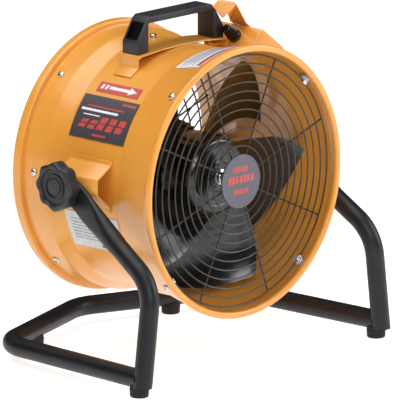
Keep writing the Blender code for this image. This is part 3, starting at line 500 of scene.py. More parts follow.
def filleted(corners, radii, steps):
    """A run of points through the corners, with an arc of its own radius at each inner one."""
    points = [Vector(corners[0])]
    for index in range(1, len(corners) - 1):
        here = Vector(corners[index])
        back = (Vector(corners[index - 1]) - here).normalized()
        ahead = (Vector(corners[index + 1]) - here).normalized()
        half = back.angle(ahead) / 2.0
        reach = radii[index - 1] / tan(half)
        centre = here + (back + ahead).normalized() * (radii[index - 1] / sin(half))
        start = here + back * reach - centre
        end = here + ahead * reach - centre
        sweep = start.angle(end)
        for step in range(steps + 1):
            share = step / steps
            first = sin((1.0 - share) * sweep) / sin(sweep)
            second = sin(share * sweep) / sin(sweep)
            points.append(centre + start * first + end * second)
    points.append(Vector(corners[-1]))
    return points


def prism(name, outline, depth, mat, matrix=None, width=0.0, segments=3, angle=32.0):
    """A solid of constant section in X and Z run along Y, its edges rounded to this width."""
    bm = bmesh.new()
    face = bm.faces.new([bm.verts.new((x, depth[0], z)) for x, z in outline])
    grown = bmesh.ops.extrude_face_region(bm, geom=[face])
    moved = [item for item in grown["geom"] if isinstance(item, bmesh.types.BMVert)]
    bmesh.ops.translate(bm, vec=(0.0, depth[1] - depth[0], 0.0), verts=moved)
    obj = made_object(name, bm, mat, matrix, angle)
    if width:
        round_off(obj, width, segments)
    return obj


def round_off(obj, width, segments, limit=35.0):
    edge = obj.modifiers.new("Bevel", "BEVEL")
    edge.width = width
    edge.segments = segments
    edge.limit_method = "ANGLE"
    edge.angle_limit = radians(limit)


def carve(obj, cutter):
    """Cuts the cutter from the object, and lines the cut with the cutter's material."""
    cutter.hide_render = True
    cut = obj.modifiers.new("Boolean", "BOOLEAN")
    cut.solver = "EXACT"
    cut.material_mode = "TRANSFER"
    cut.object = cutter


def block(name, low, high, matrix=None, width=0.0):
    outline = [(low[0], low[2]), (high[0], low[2]), (high[0], high[2]), (low[0], high[2])]
    return settled(prism(name, outline, (low[1], high[1]), ORANGE, matrix, width, 1))


def bent_sheet(name, outline, depth, thickness, mat, width=0.0005, matrix=None):
    """A folded sheet: an open line in X and Z, thickened both ways and run along Y."""
    points = [Vector(point) for point in outline]
    upper = []
    lower = []
    for index, here in enumerate(points):
        ahead = points[min(index + 1, len(points) - 1)]
        behind = points[max(index - 1, 0)]
        first = (here - behind).normalized() if index else (ahead - here).normalized()
        second = (ahead - here).normalized() if index < len(points) - 1 else first
        along = (first + second).normalized()
        normal = Vector((-along.y, along.x))
        grow = thickness / 2.0 / max(0.4, normal.dot(Vector((-first.y, first.x))))
        upper.append(here + normal * grow)
        lower.append(here - normal * grow)
    return settled(prism(name, upper + lower[::-1], depth, mat, matrix, width, 2, 28.0), 28.0)


# ---------------- drum


def drum_radius(y):
    for (y0, r0), (y1, r1) in zip(DRUM_LINE, DRUM_LINE[1:]):
        if y0 <= y <= y1:
            return r0 + (r1 - r0) * (y - y0) / (y1 - y0)
    return DRUM_LINE[0][1] if y < DRUM_LINE[0][0] else DRUM_LINE[-1][1]


def housing():
    """The drum's skin with its rolled lips, and the lap seam underneath with its weld spots."""
    wall = [(radius, y) for y, radius in DRUM_LINE[:-1]]
    rear_lip = [
        (0.17, REAR_Y), (0.1732, REAR_Y), (LIP_R, 0.108), (LIP_R, 0.0985), (0.1735, 0.0965),
        (0.1678, 0.096), (0.1678, 0.0945), (INLET_R, REAR_LIP_Y),
    ]
    front_lip = [
        (0.1732, -0.1245), (LIP_R, -0.1265), (LIP_R, -0.1305), (0.173, FRONT_Y),
        (0.1685, FRONT_Y), (0.1662, -0.1305), (0.1662, -0.1265), (0.169, -0.1215),
    ]
    inner = [(radius - SHEET, y) for radius, y in wall] + [(0.1662, REAR_LIP_Y), (0.1675, 0.1085)]
    profile = eased(rear_lip + wall[::-1] + front_lip + inner, 0.0024, True)
    stands_for(turned("drum_skin", profile, DRUM_STEPS, ORANGE, DRUM, True, 40.0), "housing_shell")

    reach = (-0.062, 0.036)
    seam = on_drum(pi, WAIST_R - 0.0002, 0.0)
    outline = [(-0.007, 0.0), (-0.0065, 0.0008), (0.0065, 0.0008), (0.007, 0.0)]
    detail(settled(prism("drum_lap_seam", outline, reach, ORANGE, seam, 0.0003, 2)))
    spots = 5
    bead = [(0.0, 0.0001), (0.0018, 0.0002), (0.0026, 0.0005), (0.0032, 0.0)]
    for index in range(spots):
        y = reach[0] + 0.01 + index * (reach[1] - reach[0] - 0.02) / (spots - 1)
        spot = on_drum(pi, WAIST_R + 0.0006, y)
        detail(turned(f"drum_weld_spot_{index + 1}", bead, 16, ORANGE, spot))


def grille(name, node, y, spokes_y, radii):
    """Round wire rings lying on eight straight spokes, with a bead of weld where they cross."""
    bars = []
    for radius in radii:
        count = 56 if radius < 0.08 else 112
        ring = [round_drum(tau * step / count, radius, y) for step in range(count)]
        bars.append(swept(f"{name}_bar", ring, WIRE_R, WIRE, True, 10))
    welds = []
    bead = (0.0003, 0.001, 0.0014, 0.001, 0.0003)
    stops = (radii[0] - 0.004, radii[0] + 0.02, 0.1, radii[-1] - 0.006, radii[-1] + 0.0011)
    for number in range(SPOKES):
        angle = CLOCK + tau * (number + 0.5) / SPOKES
        run = [round_drum(angle, radius, spokes_y) for radius in stops]
        bars.append(swept(f"{name}_spoke", run, SPOKE_R, WIRE, False, 10))
        for radius in radii:
            run = [round_drum(angle, radius + 0.0008 * step, (y + spokes_y) / 2.0)
                   for step in range(-2, 3)]
            welds.append(swept(f"{name}_weld", run, bead, WIRE, False, 8))
    stands_for(joined(name, bars), node)
    detail(joined(f"{name}_welds", welds))


def grilles():
    grille("front_wire_guard", "front_grille", FRONT_RINGS_Y, FRONT_RINGS_Y + SPOKE_LIFT, RING_R)
    pitch = (RING_OUTER - RING_R[0]) / 7.0
    radii = [RING_R[0] + pitch * index for index in range(8)]
    grille("rear_wire_guard", "rear_grille", REAR_RINGS_Y, REAR_RINGS_Y - SPOKE_LIFT, radii)


def badge():
    """A round badge with a raised rim, and three rows of plain printed blocks."""
    back = BADGE_Y + BADGE_T
    face = BADGE_Y + 0.0002
    profile = [(0.0, back), (BADGE_R, back), (BADGE_R, BADGE_Y + 0.0003),
               (BADGE_R - 0.0008, BADGE_Y), (BADGE_R - 0.0016, BADGE_Y), (BADGE_R - 0.002, face),
               (0.0, face)]
    stands_for(turned("centre_badge", eased(profile, 0.0004), 96, BADGE), "front_badge")
    # Each row's lower edge, height, left and right ends from the badge's centre, and blocks.
    rows = ((0.012, 0.0076, -0.015, 0.012, 6), (-0.002, 0.0098, -0.0235, 0.0235, 7),
            (-0.016, 0.0066, -0.014, 0.013, 7))
    depth = (BADGE_Y + 0.0001 - 0.00012, BADGE_Y + 0.0001)
    for row, (low, height, start, end, count) in enumerate(rows):
        pitch = (end - start) / count
        low += AXIS_Z
        high = low + height
        for step in range(count):
            left = start + pitch * step
            right = left + pitch * (0.8 if (step + row) % 3 else 0.66)
            outline = [(left, low), (right, low), (right + 0.0004, high), (left + 0.0004, high)]
            detail(prism(f"badge_block_{row + 1}_{step + 1}", outline, depth, RED_FILM))


def pan_screw(name, node, radius, height, matrix, shank):
    """A domed machine screw with a pressed cross recess and a thin flange."""
    profile = [(0.0, height)]
    for step in range(1, 8):
        turn = step / 8.0 * pi / 2.0
        profile.append((radius * 0.96 * sin(turn), height * (0.22 + 0.78 * cos(turn))))
    profile += [(radius, height * 0.16), (radius, 0.0), (0.0024, 0.0), (0.0024, -shank),
                (0.0, -shank)]
    screw = turned(name, profile, 32, ZINC, matrix)
    half = radius * 0.1
    arm = radius * 0.5
    low, high = height * 0.62, height * 1.5
    outline = [(-arm, low), (arm, low), (arm, high), (-arm, high)]
    for degrees in (20.0, 110.0):
        place = matrix @ Matrix.Rotation(radians(degrees), 4, "Z")
        carve(screw, prism(name + "_cut", outline, (-half, half), ZINC, place))
    stands_for(settled(screw), node)


def drum_fixings():
    """The screws that hold the guards' clips and the motor's straps to the drum."""
    ends = (("front", FRONT_SCREW_Y, FRONT_RINGS_Y, FLARE_R + FRONT_SCREW_RISE),
            ("rear", REAR_SCREW_Y, REAR_RINGS_Y, drum_radius(REAR_SCREW_Y + DRUM_SCREW_R) + GAP))
    for number in range(1, 5):
        angle = CLOCK + radians(90.0 * number - 45.0)
        for label, y, rings_y, seat in ends:
            place = on_drum(angle, seat, y)
            pan_screw(f"{label}_drum_screw_{number}", f"{label}_screw_{number}",
                      DRUM_SCREW_R, DRUM_SCREW_H, place, seat - 0.1572 - 0.0065)
            clip(f"{label}_wire_clip_{number}", f"{label}_clip_{number}", angle, y, rings_y)
    for index, side in enumerate(("top", "right", "bottom", "left")):
        y = MOTOR_BOLT_Y[index % 2]
        seat = max(drum_radius(y - DRUM_SCREW_R), drum_radius(y + DRUM_SCREW_R)) + GAP
        place = on_drum(CLOCK + radians(90.0 * index), seat, y)
        pan_screw(f"strap_screw_{index + 1}", f"motor_screw_{side}",
                  DRUM_SCREW_R, DRUM_SCREW_H, place, 0.006)


def clip(name, node, angle, y, rings_y):
    """A plated strap looped round the outer wire, and the pale pad under its screw at the wall."""
    place = on_drum(angle, 0.0, y)
    near = rings_y - y
    sign = copysign(1.0, -near)
    wall = drum_radius(y) - SHEET - 0.0012
    line = [(near + sign * 0.0018, wall - 0.001), (near + sign * 0.002, RING_OUTER + 0.0008)]
    for step in range(7):
        turn = radians(-30.0 * step)
        line.append((near + sign * 0.002015 * cos(turn), RING_OUTER + 0.002 * sin(turn)))
    line.append((near - sign * 0.002, wall - 0.001))
    strap = bent_sheet(name, line, (-0.0036, 0.0036), 0.0009, ZINC, 0.0002, place @ QUARTER)
    stands_for(strap, node)
    low = RING_OUTER + 0.0014
    pad = [(0.0, wall), (0.0058, wall), (0.0062, wall - 0.0004), (0.0062, low + 0.001),
           (0.0052, low), (0.0, low)]
    detail(turned(name + "_pad", pad, 28, CLIP, place))


# ---------------- impeller and motor


def between(knots, value):
    """Smooth curve through the knots, by Catmull-Rom steps."""
    last = len(knots) - 1
    index = min(int(value), last - 1)
    t = value - index
    near = (knots[max(index - 1, 0)], knots[index], knots[index + 1], knots[min(index + 2, last)])
    return [0.5 * (2 * b + (c - a) * t + (2 * a - 5 * b + 4 * c - d) * t ** 2
                   + (3 * b - a - 3 * c + d) * t ** 3) for a, b, c, d in zip(*near)]


def blade(number):
    """A twisted, bulged blade, thinner along its two edges."""
    shares = [0.0, 0.02] + [0.06 + 0.88 * step / 16.0 for step in range(17)] + [0.98, 1.0]
    knots = [(radius, *front, *rear)
             for radius, front, rear in zip(BLADE_RADII, BLADE_FRONT, BLADE_REAR)]
    bm = bmesh.new()
    grids = []
    for side in (1.0, -1.0):
        grid = []
        for row in range(BLADE_ROWS + 1):
            at = row / BLADE_ROWS * (len(knots) - 1)
            radius, first, first_y, last, last_y = between(knots, at)
            depth = last_y - first_y
            lean = atan2(depth, radius * radians(last - first))
            line = []
            for share in shares:
                edge = min(1.0, min(share, 1.0 - share) / 0.05)
                thick = BLADE_T * 0.5 * side * (0.3 + 0.7 * sqrt(edge))
                bulge = BLADE_BULGE * depth * 4.0 * share * (1.0 - share)
                middle = radians(first + (last - first) * share + 360.0 * number / BLADES)
                angle = middle - thick * sin(lean) / radius
                y = first_y + depth * share + bulge + thick * cos(lean)
                line.append(bm.verts.new(round_drum(angle, radius, y)))
            grid.append(line)
        grids.append(grid)
    slab(bm, grids)
    return made_object(f"fan_blade_{number + 1}", bm, BLADE, None, 50.0)


def impeller():
    face = [(0.0, 0.0006), (0.0135, 0.0006), (0.015, 0.0), (0.0185, 0.0), (0.02, 0.0014),
            (0.037, 0.0014), (0.0385, 0.0004), (HUB_R - 0.006, 0.0016), (HUB_R - 0.001, 0.0065),
            (HUB_R, 0.012)]
    rear = [(HUB_R, -0.0015), (HUB_R - 0.0015, 0.0), (HUB_R - 0.0045, 0.0),
            (HUB_R - 0.0055, -0.006), (0.012, -0.006), (0.01, -0.001), (0.0, -0.001)]
    profile = raised(face, HUB_FRONT_Y) + raised(rear, HUB_REAR_Y)
    hub = turned("fan_hub_skin", eased(profile, 0.0018), 96, BLADE)
    blades = [blade(number) for number in range(BLADES)]
    stands_for(joined("fan_wheel", [hub] + blades), "impeller")
    cap = raised([(0.0, -0.007), (0.0056, -0.0068), (0.007, -0.005), (0.0104, -0.004),
                  (0.011, -0.0006), (0.011, 0.0), (0.0, 0.0)], HUB_FRONT_Y - GAP)
    stands_for(turned("fan_hub_nut", eased(cap, 0.0008), 48, ZINC), "hub_nut")
    shaft = [(0.0, HUB_REAR_Y - 0.001), (0.0058, HUB_REAR_Y - 0.001), (0.006, HUB_REAR_Y),
             (0.006, -0.017), (0.011, -0.0165), (0.011, -0.0125), (0.0, -0.012)]
    stands_for(turned("fan_shaft", shaft, 40, ZINC), "motor_shaft")


def motor():
    """A finned casing, and its rear cover with four screws."""
    core = raised([(0.0, 0.0), (0.018, 0.0), (0.02, 0.0008), (0.038, 0.001), (0.0535, 0.003),
                   (0.0572, 0.007)], MOTOR_FRONT_Y)
    core += raised([(0.0572, -0.001), (0.056, 0.0), (0.0, 0.0)], MOTOR_BACK_Y)
    parts = [turned("motor_core", eased(core, 0.002), 96, MOTOR)]
    tip = MOTOR_R - 0.0002
    fin = [(-0.0008, 0.056), (0.0008, 0.056), (0.0005, tip), (-0.0005, tip)]
    reach = (MOTOR_FRONT_Y + 0.007, MOTOR_BACK_Y - 0.002)
    for index in range(MOTOR_FINS):
        place = on_drum(tau * index / MOTOR_FINS, 0.0, 0.0)
        parts.append(prism("motor_fin", fin, reach, MOTOR, place))
    stands_for(joined("motor_casing", parts), "motor_body")
    back = MOTOR_BACK_Y + GAP
    cover = [(0.0, MOTOR_REAR_Y), (0.015, MOTOR_REAR_Y), (0.0175, MOTOR_REAR_Y - 0.003),
             (0.042, MOTOR_REAR_Y - 0.004), (0.0495, MOTOR_REAR_Y - 0.0085),
             (0.05, back + 0.0005), (0.0495, back), (0.0, back)]
    stands_for(turned("motor_back_cover", eased(cover, 0.0018), 96, MOTOR), "motor_end_cover")
    head = [(0.0, 0.0036), (0.0022, 0.0034), (0.003, 0.0024), (0.0031, 0.0), (0.0, 0.0)]
    for index in range(4):
        place = on_drum(radians(45.0 + 90.0 * index), 0.044, MOTOR_REAR_Y - 0.006)
        detail(turned(f"motor_cover_screw_{index + 1}", head, 24, ZINC, place @ TO_REAR))


def wall_radius(y):
    """The drum's inner radius at its flats, which is where a strap's arm can reach."""
    taper = 0.1669 - 0.0007 * (y - INLET_Y) / (REAR_LIP_Y - INLET_Y)
    inner = drum_radius(y) - SHEET if y <= INLET_Y else taper
    return inner * cos(pi / 48.0)


def strap(name, node, bolt_y, first_turn):
    """A ring round the motor, with two arms whose ends are bent flat to the drum's wall."""
    inner = MOTOR_R + GAP
    arm_y = bolt_y - 0.0085
    ring_low = min(arm_y - 0.0055, MOTOR_BACK_Y - 0.011)
    ring_high = arm_y + 0.0025
    profile = [(inner + 0.003, ring_high), (inner + 0.003, ring_low), (inner, ring_low),
               (inner, ring_high)]
    parts = [turned(name, eased(profile, 0.0007, True), 96, MOTOR, DRUM, True)]
    tab_end = bolt_y + 0.006
    wall = min(wall_radius(arm_y), wall_radius(tab_end))
    reach = sqrt(wall ** 2 - STRAP_HALF_W ** 2) - GAP
    line = [(0.0, inner + 0.001), (0.0, reach - 0.0055), (0.0008, reach - 0.003),
            (0.003, reach - 0.0016), (tab_end - arm_y, reach - 0.0015)]
    for turn in (first_turn, first_turn + 180.0):
        place = on_drum(CLOCK + radians(turn), 0.0, arm_y) @ QUARTER
        parts.append(bent_sheet(name + "_arm", line, (-STRAP_HALF_W, STRAP_HALF_W), STRAP_T,
                                MOTOR, 0.0004, place))
    stands_for(joined(name, parts), node)


# ---------------- printed labels


def patch(name, corners, lift, thickness, mat, node, across, along):
    """A thin four-sided patch that follows the drum, with corners at (degrees, Y)."""
    bm = bmesh.new()
    layers = []
    (a0, y0), (a1, y1), (a2, y2), (a3, y3) = corners
    for level in (lift + thickness, lift):
        grid = []
        for i in range(across + 1):
            s = i / across
            row = []
            for j in range(along + 1):
                t = j / along
                angle = (a0 * (1 - s) + a1 * s) * (1 - t) + (a3 * (1 - s) + a2 * s) * t
                y = (y0 * (1 - s) + y1 * s) * (1 - t) + (y3 * (1 - s) + y2 * s) * t
                point = round_drum(radians(angle), drum_radius(y) + level, y)
                row.append(bm.verts.new(point))
            grid.append(row)
        layers.append(grid)
    slab(bm, layers)
    made = made_object(name, bm, mat)
    return stands_for(made, node) if node else detail(made)


def print_on(name, corners, mat, across, along):
    patch(name, corners, LABEL_OFF + LABEL_T / 2.0 + PRINT_T, PRINT_T, mat, None, across, along)


def mark(name, label, box, mat, slant=0.0, across=4, along=4):
    """A printed shape on a label: box is (left, bottom, right, top) in shares of the label."""
    angles, reach = label
    left, bottom, right, top = box

    def at(s, t):
        return (angles[0] + (angles[1] - angles[0]) * t, reach[1] + (reach[0] - reach[1]) * s)

    corners = [at(left, bottom), at(left + slant, top), at(right + slant, top), at(right, bottom)]
    print_on(name, corners, mat, across, along)


def labels():
    """Four labels, each (degrees, Y) from edge to edge, with plain blocks, bars and an arrow."""
    plate = ((-68.3, -47.6), (-0.063, 0.033))
    arrow = ((-45.3, -40.0), (-0.0524, 0.0197))
    rating = ((-121.0, -102.5), (-0.06, 0.033))
    top = ((-24.0, 17.0), (-0.1175, -0.072))
    for name, node, (angles, reach), mat, across in (
            ("main_nameplate", "nameplate", plate, DARK_FILM, 20),
            ("flow_arrow_plate", "arrow_label", arrow, RED_FILM, 20),
            ("side_data_plate", "rating_label", rating, SILVER_FILM, 20),
            ("top_notice_plate", "top_label", top, WHITE_FILM, 40)):
        corners = [(angles[0], reach[1]), (angles[1], reach[1]), (angles[1], reach[0]),
                   (angles[0], reach[0])]
        patch(name, corners, LABEL_OFF - LABEL_T / 2.0, LABEL_T, mat, node, across, 16)

    mark("plate_stripe_1", plate, (0.06, 0.625, 0.72, 0.68), WHITE_FILM, 0.0, 16, 2)
    mark("plate_stripe_2", plate, (0.14, 0.73, 0.8, 0.762), RED_FILM, 0.0, 16, 2)
    for step in range(5):
        tall = 0.1 if step < 2 else 0.15
        for half in range(2):
            left = 0.105 + step * 0.165 + half * 0.03
            low = 0.235 + half * (tall + 0.012)
            mark(f"plate_block_{step + 1}_{half + 1}", plate,
                 (left, low, left + 0.118, low + tall - 0.012), RED_FILM, 0.022)
    mark("plate_small_bar", plate, (0.4, 0.085, 0.64, 0.135), RED_FILM, 0.005)
    mark("plate_corner_block", plate, (0.72, 0.875, 0.96, 0.925), RED_FILM, 0.005)
    mark("plate_white_line", plate, (0.13, 0.525, 0.42, 0.55), WHITE_FILM, 0.005)

    mark("arrow_shaft", arrow, (0.27, 0.38, 0.76, 0.68), WHITE_FILM)
    low, high = arrow[0]
    low_side, high_side, tip = (low + (high - low) * share for share in (0.14, 0.92, 0.53))
    head = [(low_side, -0.034), (high_side, -0.034), (tip, -0.0475), (tip, -0.0475)]
    print_on("arrow_head", head, WHITE_FILM, 6, 6)
    for step, left in enumerate((0.07, 0.17)):
        mark(f"arrow_tail_{step + 1}", arrow, (left, 0.3, left + 0.055, 0.76), WHITE_FILM, 0.015)

    for step in range(7):
        low = 0.8 - step * 0.09
        right = 0.9 if step % 3 else 0.7
        mark(f"data_line_{step + 1}", rating, (0.08, low, right, low + 0.025), GREY_FILM)
    mark("data_bar", rating, (0.55, 0.08, 0.9, 0.15), DARK_FILM)

    for step in range(9):
        left = 0.1 + step * 0.072
        box = (left, 0.04 if step % 2 else 0.1, left + 0.024, 0.95 if step % 3 else 0.86)
        mark(f"notice_line_{step + 1}", top, box, GREY_FILM, 0.0, 24, 2)
    mark("notice_band", top, (0.82, 0.03, 0.975, 0.88), RED_FILM, 0.0, 24, 2)


# ---------------- stand


def base():
    front_y = LEG_Y + 0.004
    corners = [(-FRONT_X, front_y, RAIL_Z), (-REAR_X, REAR_BEND_Y, RAIL_Z), (0.0, APEX_Y, RAIL_Z),
               (REAR_X, REAR_BEND_Y, RAIL_Z), (FRONT_X, front_y, RAIL_Z)]
    run = filleted(corners, (0.045, 0.06, 0.045), 20)
    stands_for(swept("stand_base_tube", run, TUBE_R - 0.00005, BLACK, False, 28), "base_tube")


def leg_stations():
    """(point, half width, half thickness) along a leg's centre line, in the plane X = 0."""
    corner_z = PIVOT_Z + LEG_RISE * LEG_Y
    path = filleted([(0.0, LEG_Y, 0.0125), (0.0, LEG_Y, corner_z), (0.0, 0.0, PIVOT_Z)],
                    (0.055,), 16)
    pivot = path.pop()
    run = (pivot - path[-1]).normalized()
    total = (pivot - path[-1]).length
    # Half width and half thickness at these distances back from the pivot.
    widths = ((0.118, 0.0126, 0.0124), (0.1, 0.0136, 0.012), (0.08, 0.015, 0.0096),
              (0.062, 0.0164, 0.0066), (0.048, 0.0172, 0.0048), (0.035, EYE_HALF_W, EYE_HALF_T),
              (0.0, EYE_HALF_W, EYE_HALF_T))
    stations = [(point, LEG_R, LEG_R) for point in path]
    steps = 60
    for step in range(1, steps):
        back = total * (1.0 - step / steps)
        half_w = half_t = LEG_R
        for (b0, w0, t0), (b1, w1, t1) in zip(widths, widths[1:]):
            if b1 <= back <= b0 and back < widths[0][0]:
                share = (b0 - back) / (b0 - b1)
                ease = share * share * (3.0 - 2.0 * share) * 0.5 + share * 0.5
                half_w, half_t = w0 + (w1 - w0) * ease, t0 + (t1 - t0) * ease
        stations.append((pivot - run * back, half_w, half_t))
    for ahead in (0.0, 0.25, 0.5, 0.7, 0.84, 0.93, 0.98, 0.999):
        half_w = EYE_HALF_W * sqrt(1.0 - ahead ** 2)
        stations.append((pivot + run * (EYE_HALF_W * ahead), half_w, EYE_HALF_T))
    return stations, pivot


def leg(side, label):
    """A leaning round tube whose upper end is pressed flat into the clamp's eye."""
    stations, pivot = leg_stations()
    bm = bmesh.new()
    rings = []
    for index, (point, half_w, half_t) in enumerate(stations):
        ahead = stations[min(index + 1, len(stations) - 1)][0]
        behind = stations[max(index - 1, 0)][0]
        along = (ahead - behind).normalized()
        across = Vector((0.0, along.z, -along.y))
        x = EYE_X
        if point.y < 0.0:
            leaning = FRONT_X - LEAN * (point.z - RAIL_Z)
            reach = max(0.0, min(1.0, ((point - pivot).length - 0.03) / 0.02))
            x += (max(leaning, EYE_X) - EYE_X) * reach
        round_w = min(half_t, half_w)
        # Two half circles of points. In a round section they meet, and are spaced to share none.
        first, pitch = (-90.0, 12.0) if half_w - round_w > 1e-5 else (-84.375, 11.25)
        ring = []
        for end in (1.0, -1.0):
            for step in range(16):
                turn = radians(first + pitch * step)
                wide = end * (half_w - round_w + round_w * cos(turn))
                thick = end * half_t * sin(turn)
                corner = (side * (x + thick), point.y + across.y * wide, point.z + across.z * wide)
                ring.append(bm.verts.new(corner))
        rings.append(ring)
    capped(bm, rings)
    stands_for(made_object(f"stand_{label}_leg", bm, BLACK, None, 40.0), f"{label}_leg")


def foot(end, label, x, y):
    profile = [(0.0, 0.016), (0.0112, 0.016), (0.0118, 0.0152), (0.0121, 0.012),
               (0.0124, 0.0112), (0.0124, 0.0086), (0.0121, 0.0078), (0.0119, 0.003),
               (0.0117, 0.0012), (0.0108, 0.0002), (0.0104, 0.0), (0.006, 0.0),
               (0.0052, 0.0016), (0.0, 0.0016)]
    place = Matrix.Translation((x, y, 0.0))
    rubber = turned(f"{end}_{label}_rubber", eased(profile, 0.0005), 56, RUBBER, place)
    stands_for(rubber, f"{end}_{label}_foot")


def feet():
    rear_foot_y = APEX_Y - (APEX_Y - REAR_BEND_Y) / REAR_X * REAR_FOOT_X
    for label, side in (("left", -1.0), ("right", 1.0)):
        foot("front", label, side * (FRONT_X - GAP), FRONT_FOOT_Y)
        foot("rear", label, side * REAR_FOOT_X, rear_foot_y)


# ---------------- tilt joint


def axle_place(side, x):
    """A place on the tilt axis, with Z pointing out to this side."""
    return Matrix.Translation((side * x, 0.0, PIVOT_Z)) @ Matrix.Rotation(side * pi / 2, 4, "Y")


def bracket(side, label):
    """A folded bracket: it meets the drum above and below the axle, and stands out between."""
    def on_wall(degrees):
        turn = radians(degrees)
        return (side * BRACKET_R * sin(turn), AXIS_Z + BRACKET_R * cos(turn))

    outline = [on_wall(75.7), on_wall(78.0), (side * 0.1828, 0.2535), (side * 0.1828, 0.2336),
               on_wall(97.0), on_wall(99.4)]
    sheet = bent_sheet(f"{label}_tilt_bracket", eased(outline, 0.0024), (-0.051, 0.021), 0.0024,
                       ORANGE)
    stands_for(sheet, f"{label}_bracket")


def knob(side, label):
    """A lobed clamp knob: softened lobes, a dished face, a raised ring and a domed boss."""
    # Share of the radius, share of the lobes' depth, and height from the seat or the face.
    side_levels = [(0.86, 0.4, 0.0), (0.93, 0.8, 0.0006), (0.985, 1.0, 0.0022), (1.0, 1.0, 0.0042)]
    face_levels = [
        (1.0, 1.0, -0.005), (0.985, 1.0, -0.0022), (0.94, 0.9, -0.0006), (0.89, 0.5, 0.0),
        (0.8, 0.1, 0.0), (0.765, 0.0, -0.0008), (0.74, 0.0, -0.0034), (0.56, 0.0, -0.0034),
        (0.545, 0.0, -0.0018), (0.5, 0.0, -0.0014), (0.465, 0.0, -0.0018), (0.45, 0.0, -0.0036),
        (0.36, 0.0, -0.0036), (0.345, 0.0, -0.002), (0.31, 0.0, -0.001), (0.18, 0.0, -0.0008),
        (0.01, 0.0, -0.0007),
    ]
    levels = side_levels + [(share, lobe, KNOB_T + drop) for share, lobe, drop in face_levels]
    bm = bmesh.new()
    rings = []
    for share, lobe, height in levels:
        ring = []
        for step in range(KNOB_STEPS):
            turn = tau * step / KNOB_STEPS
            wave = cos(8.0 * turn)
            reach = KNOB_R * share + KNOB_LOBE * lobe * wave * (0.75 + 0.25 * abs(wave))
            ring.append(bm.verts.new((reach * cos(turn), reach * sin(turn), height)))
        rings.append(ring)
    capped(bm, rings)
    piece = made_object(f"{label}_clamp_knob", bm, PLASTIC, axle_place(side, KNOB_X), 38.0)
    stands_for(piece, f"{label}_knob")


def clamp(side, label):
    """The knob's threaded stud with its washer, and the nut that it turns in."""
    rim = [(0.0042, 0.0), (0.0095, 0.0), (0.0098, 0.0003), (0.0098, 0.0017), (0.0095, 0.002),
           (0.0042, 0.002)]
    place = axle_place(side, KNOB_X - 0.00245)
    washer = turned(f"{label}_stud_washer", rim, 40, ZINC, place, True)
    detail(washer, f"{label}_knob_set")
    bolt = [(0.0, 0.0), (0.0036, 0.0), (0.004, 0.0004)]
    for step in range(20):
        at = 0.0008 + step * 0.0014
        bolt += [(0.004, at), (0.0036, at + 0.0007)]
    bolt += [(0.004, 0.029), (0.0, 0.0295)]
    stud = turned(f"{label}_clamp_stud", bolt, 28, ZINC, axle_place(side, STUD_X))
    stands_for(stud, f"{label}_stud")
    bm = bmesh.new()
    bmesh.ops.create_cone(bm, cap_ends=True, segments=6, radius1=0.0074, radius2=0.0074,
                          depth=0.0073)
    bmesh.ops.translate(bm, vec=(0.0, 0.0, 0.00365), verts=bm.verts)
    place = axle_place(side, NUT_X) @ Matrix.Rotation(radians(30.0), 4, "Z")
    nut = made_object(f"{label}_clamp_nut", bm, ZINC, place, 25.0)
    round_off(nut, 0.0005, 2)
    stands_for(settled(nut, 25.0), f"{label}_nut")


# ---------------- handle


def saddle_top(x):
    """Height just clear of the saddle's upper face, on its sloping side or out beyond it."""
    (x0, z0), (x1, z1) = SADDLE_ARCH
    rise = (z1 - z0) / (x1 - x0)
    return z0 + rise * (x - x0) + SADDLE_T / 2.0 * hypot(1.0, rise) + GAP


def saddle():
    """An arched strip across the drum, notched where its left toe narrows, and its small tongue."""
    (x0, z0), (x1, z1) = SADDLE_ARCH
    toe = [(-x, AXIS_Z + sqrt((WAIST_R + 0.0015) ** 2 - x ** 2)) for x in (0.0929, x1)]
    fold = (0.0786, saddle_top(0.0786) - GAP - SADDLE_T / 2.0)
    line = toe + [(-x1, z1), (-x0, z0), (0.0, 0.396), (x0, z0), fold, (0.0757, 0.3778)]
    sheet = bent_sheet("carry_saddle", eased(line, 0.002, False, 6), (-0.024, 0.0125), SADDLE_T,
                       ORANGE, 0.0)
    for side, near, far in (("front", -0.0305, -0.0205), ("rear", 0.01, 0.02)):
        carve(sheet, block(f"saddle_notch_{side}", (-0.11, near, 0.35), (-0.076, far, 0.3886)))
    round_off(sheet, 0.0005, 2, 40.0)
    stands_for(sheet, "handle_saddle")
    tongue = [(0.05, 0.3925), (0.05, 0.3885), (0.06, 0.3855), (0.069, 0.386)]
    detail(bent_sheet("carry_saddle_tongue", eased(tongue, 0.0018), (-0.02, -0.01), 0.0016,
                      ORANGE, 0.0004))


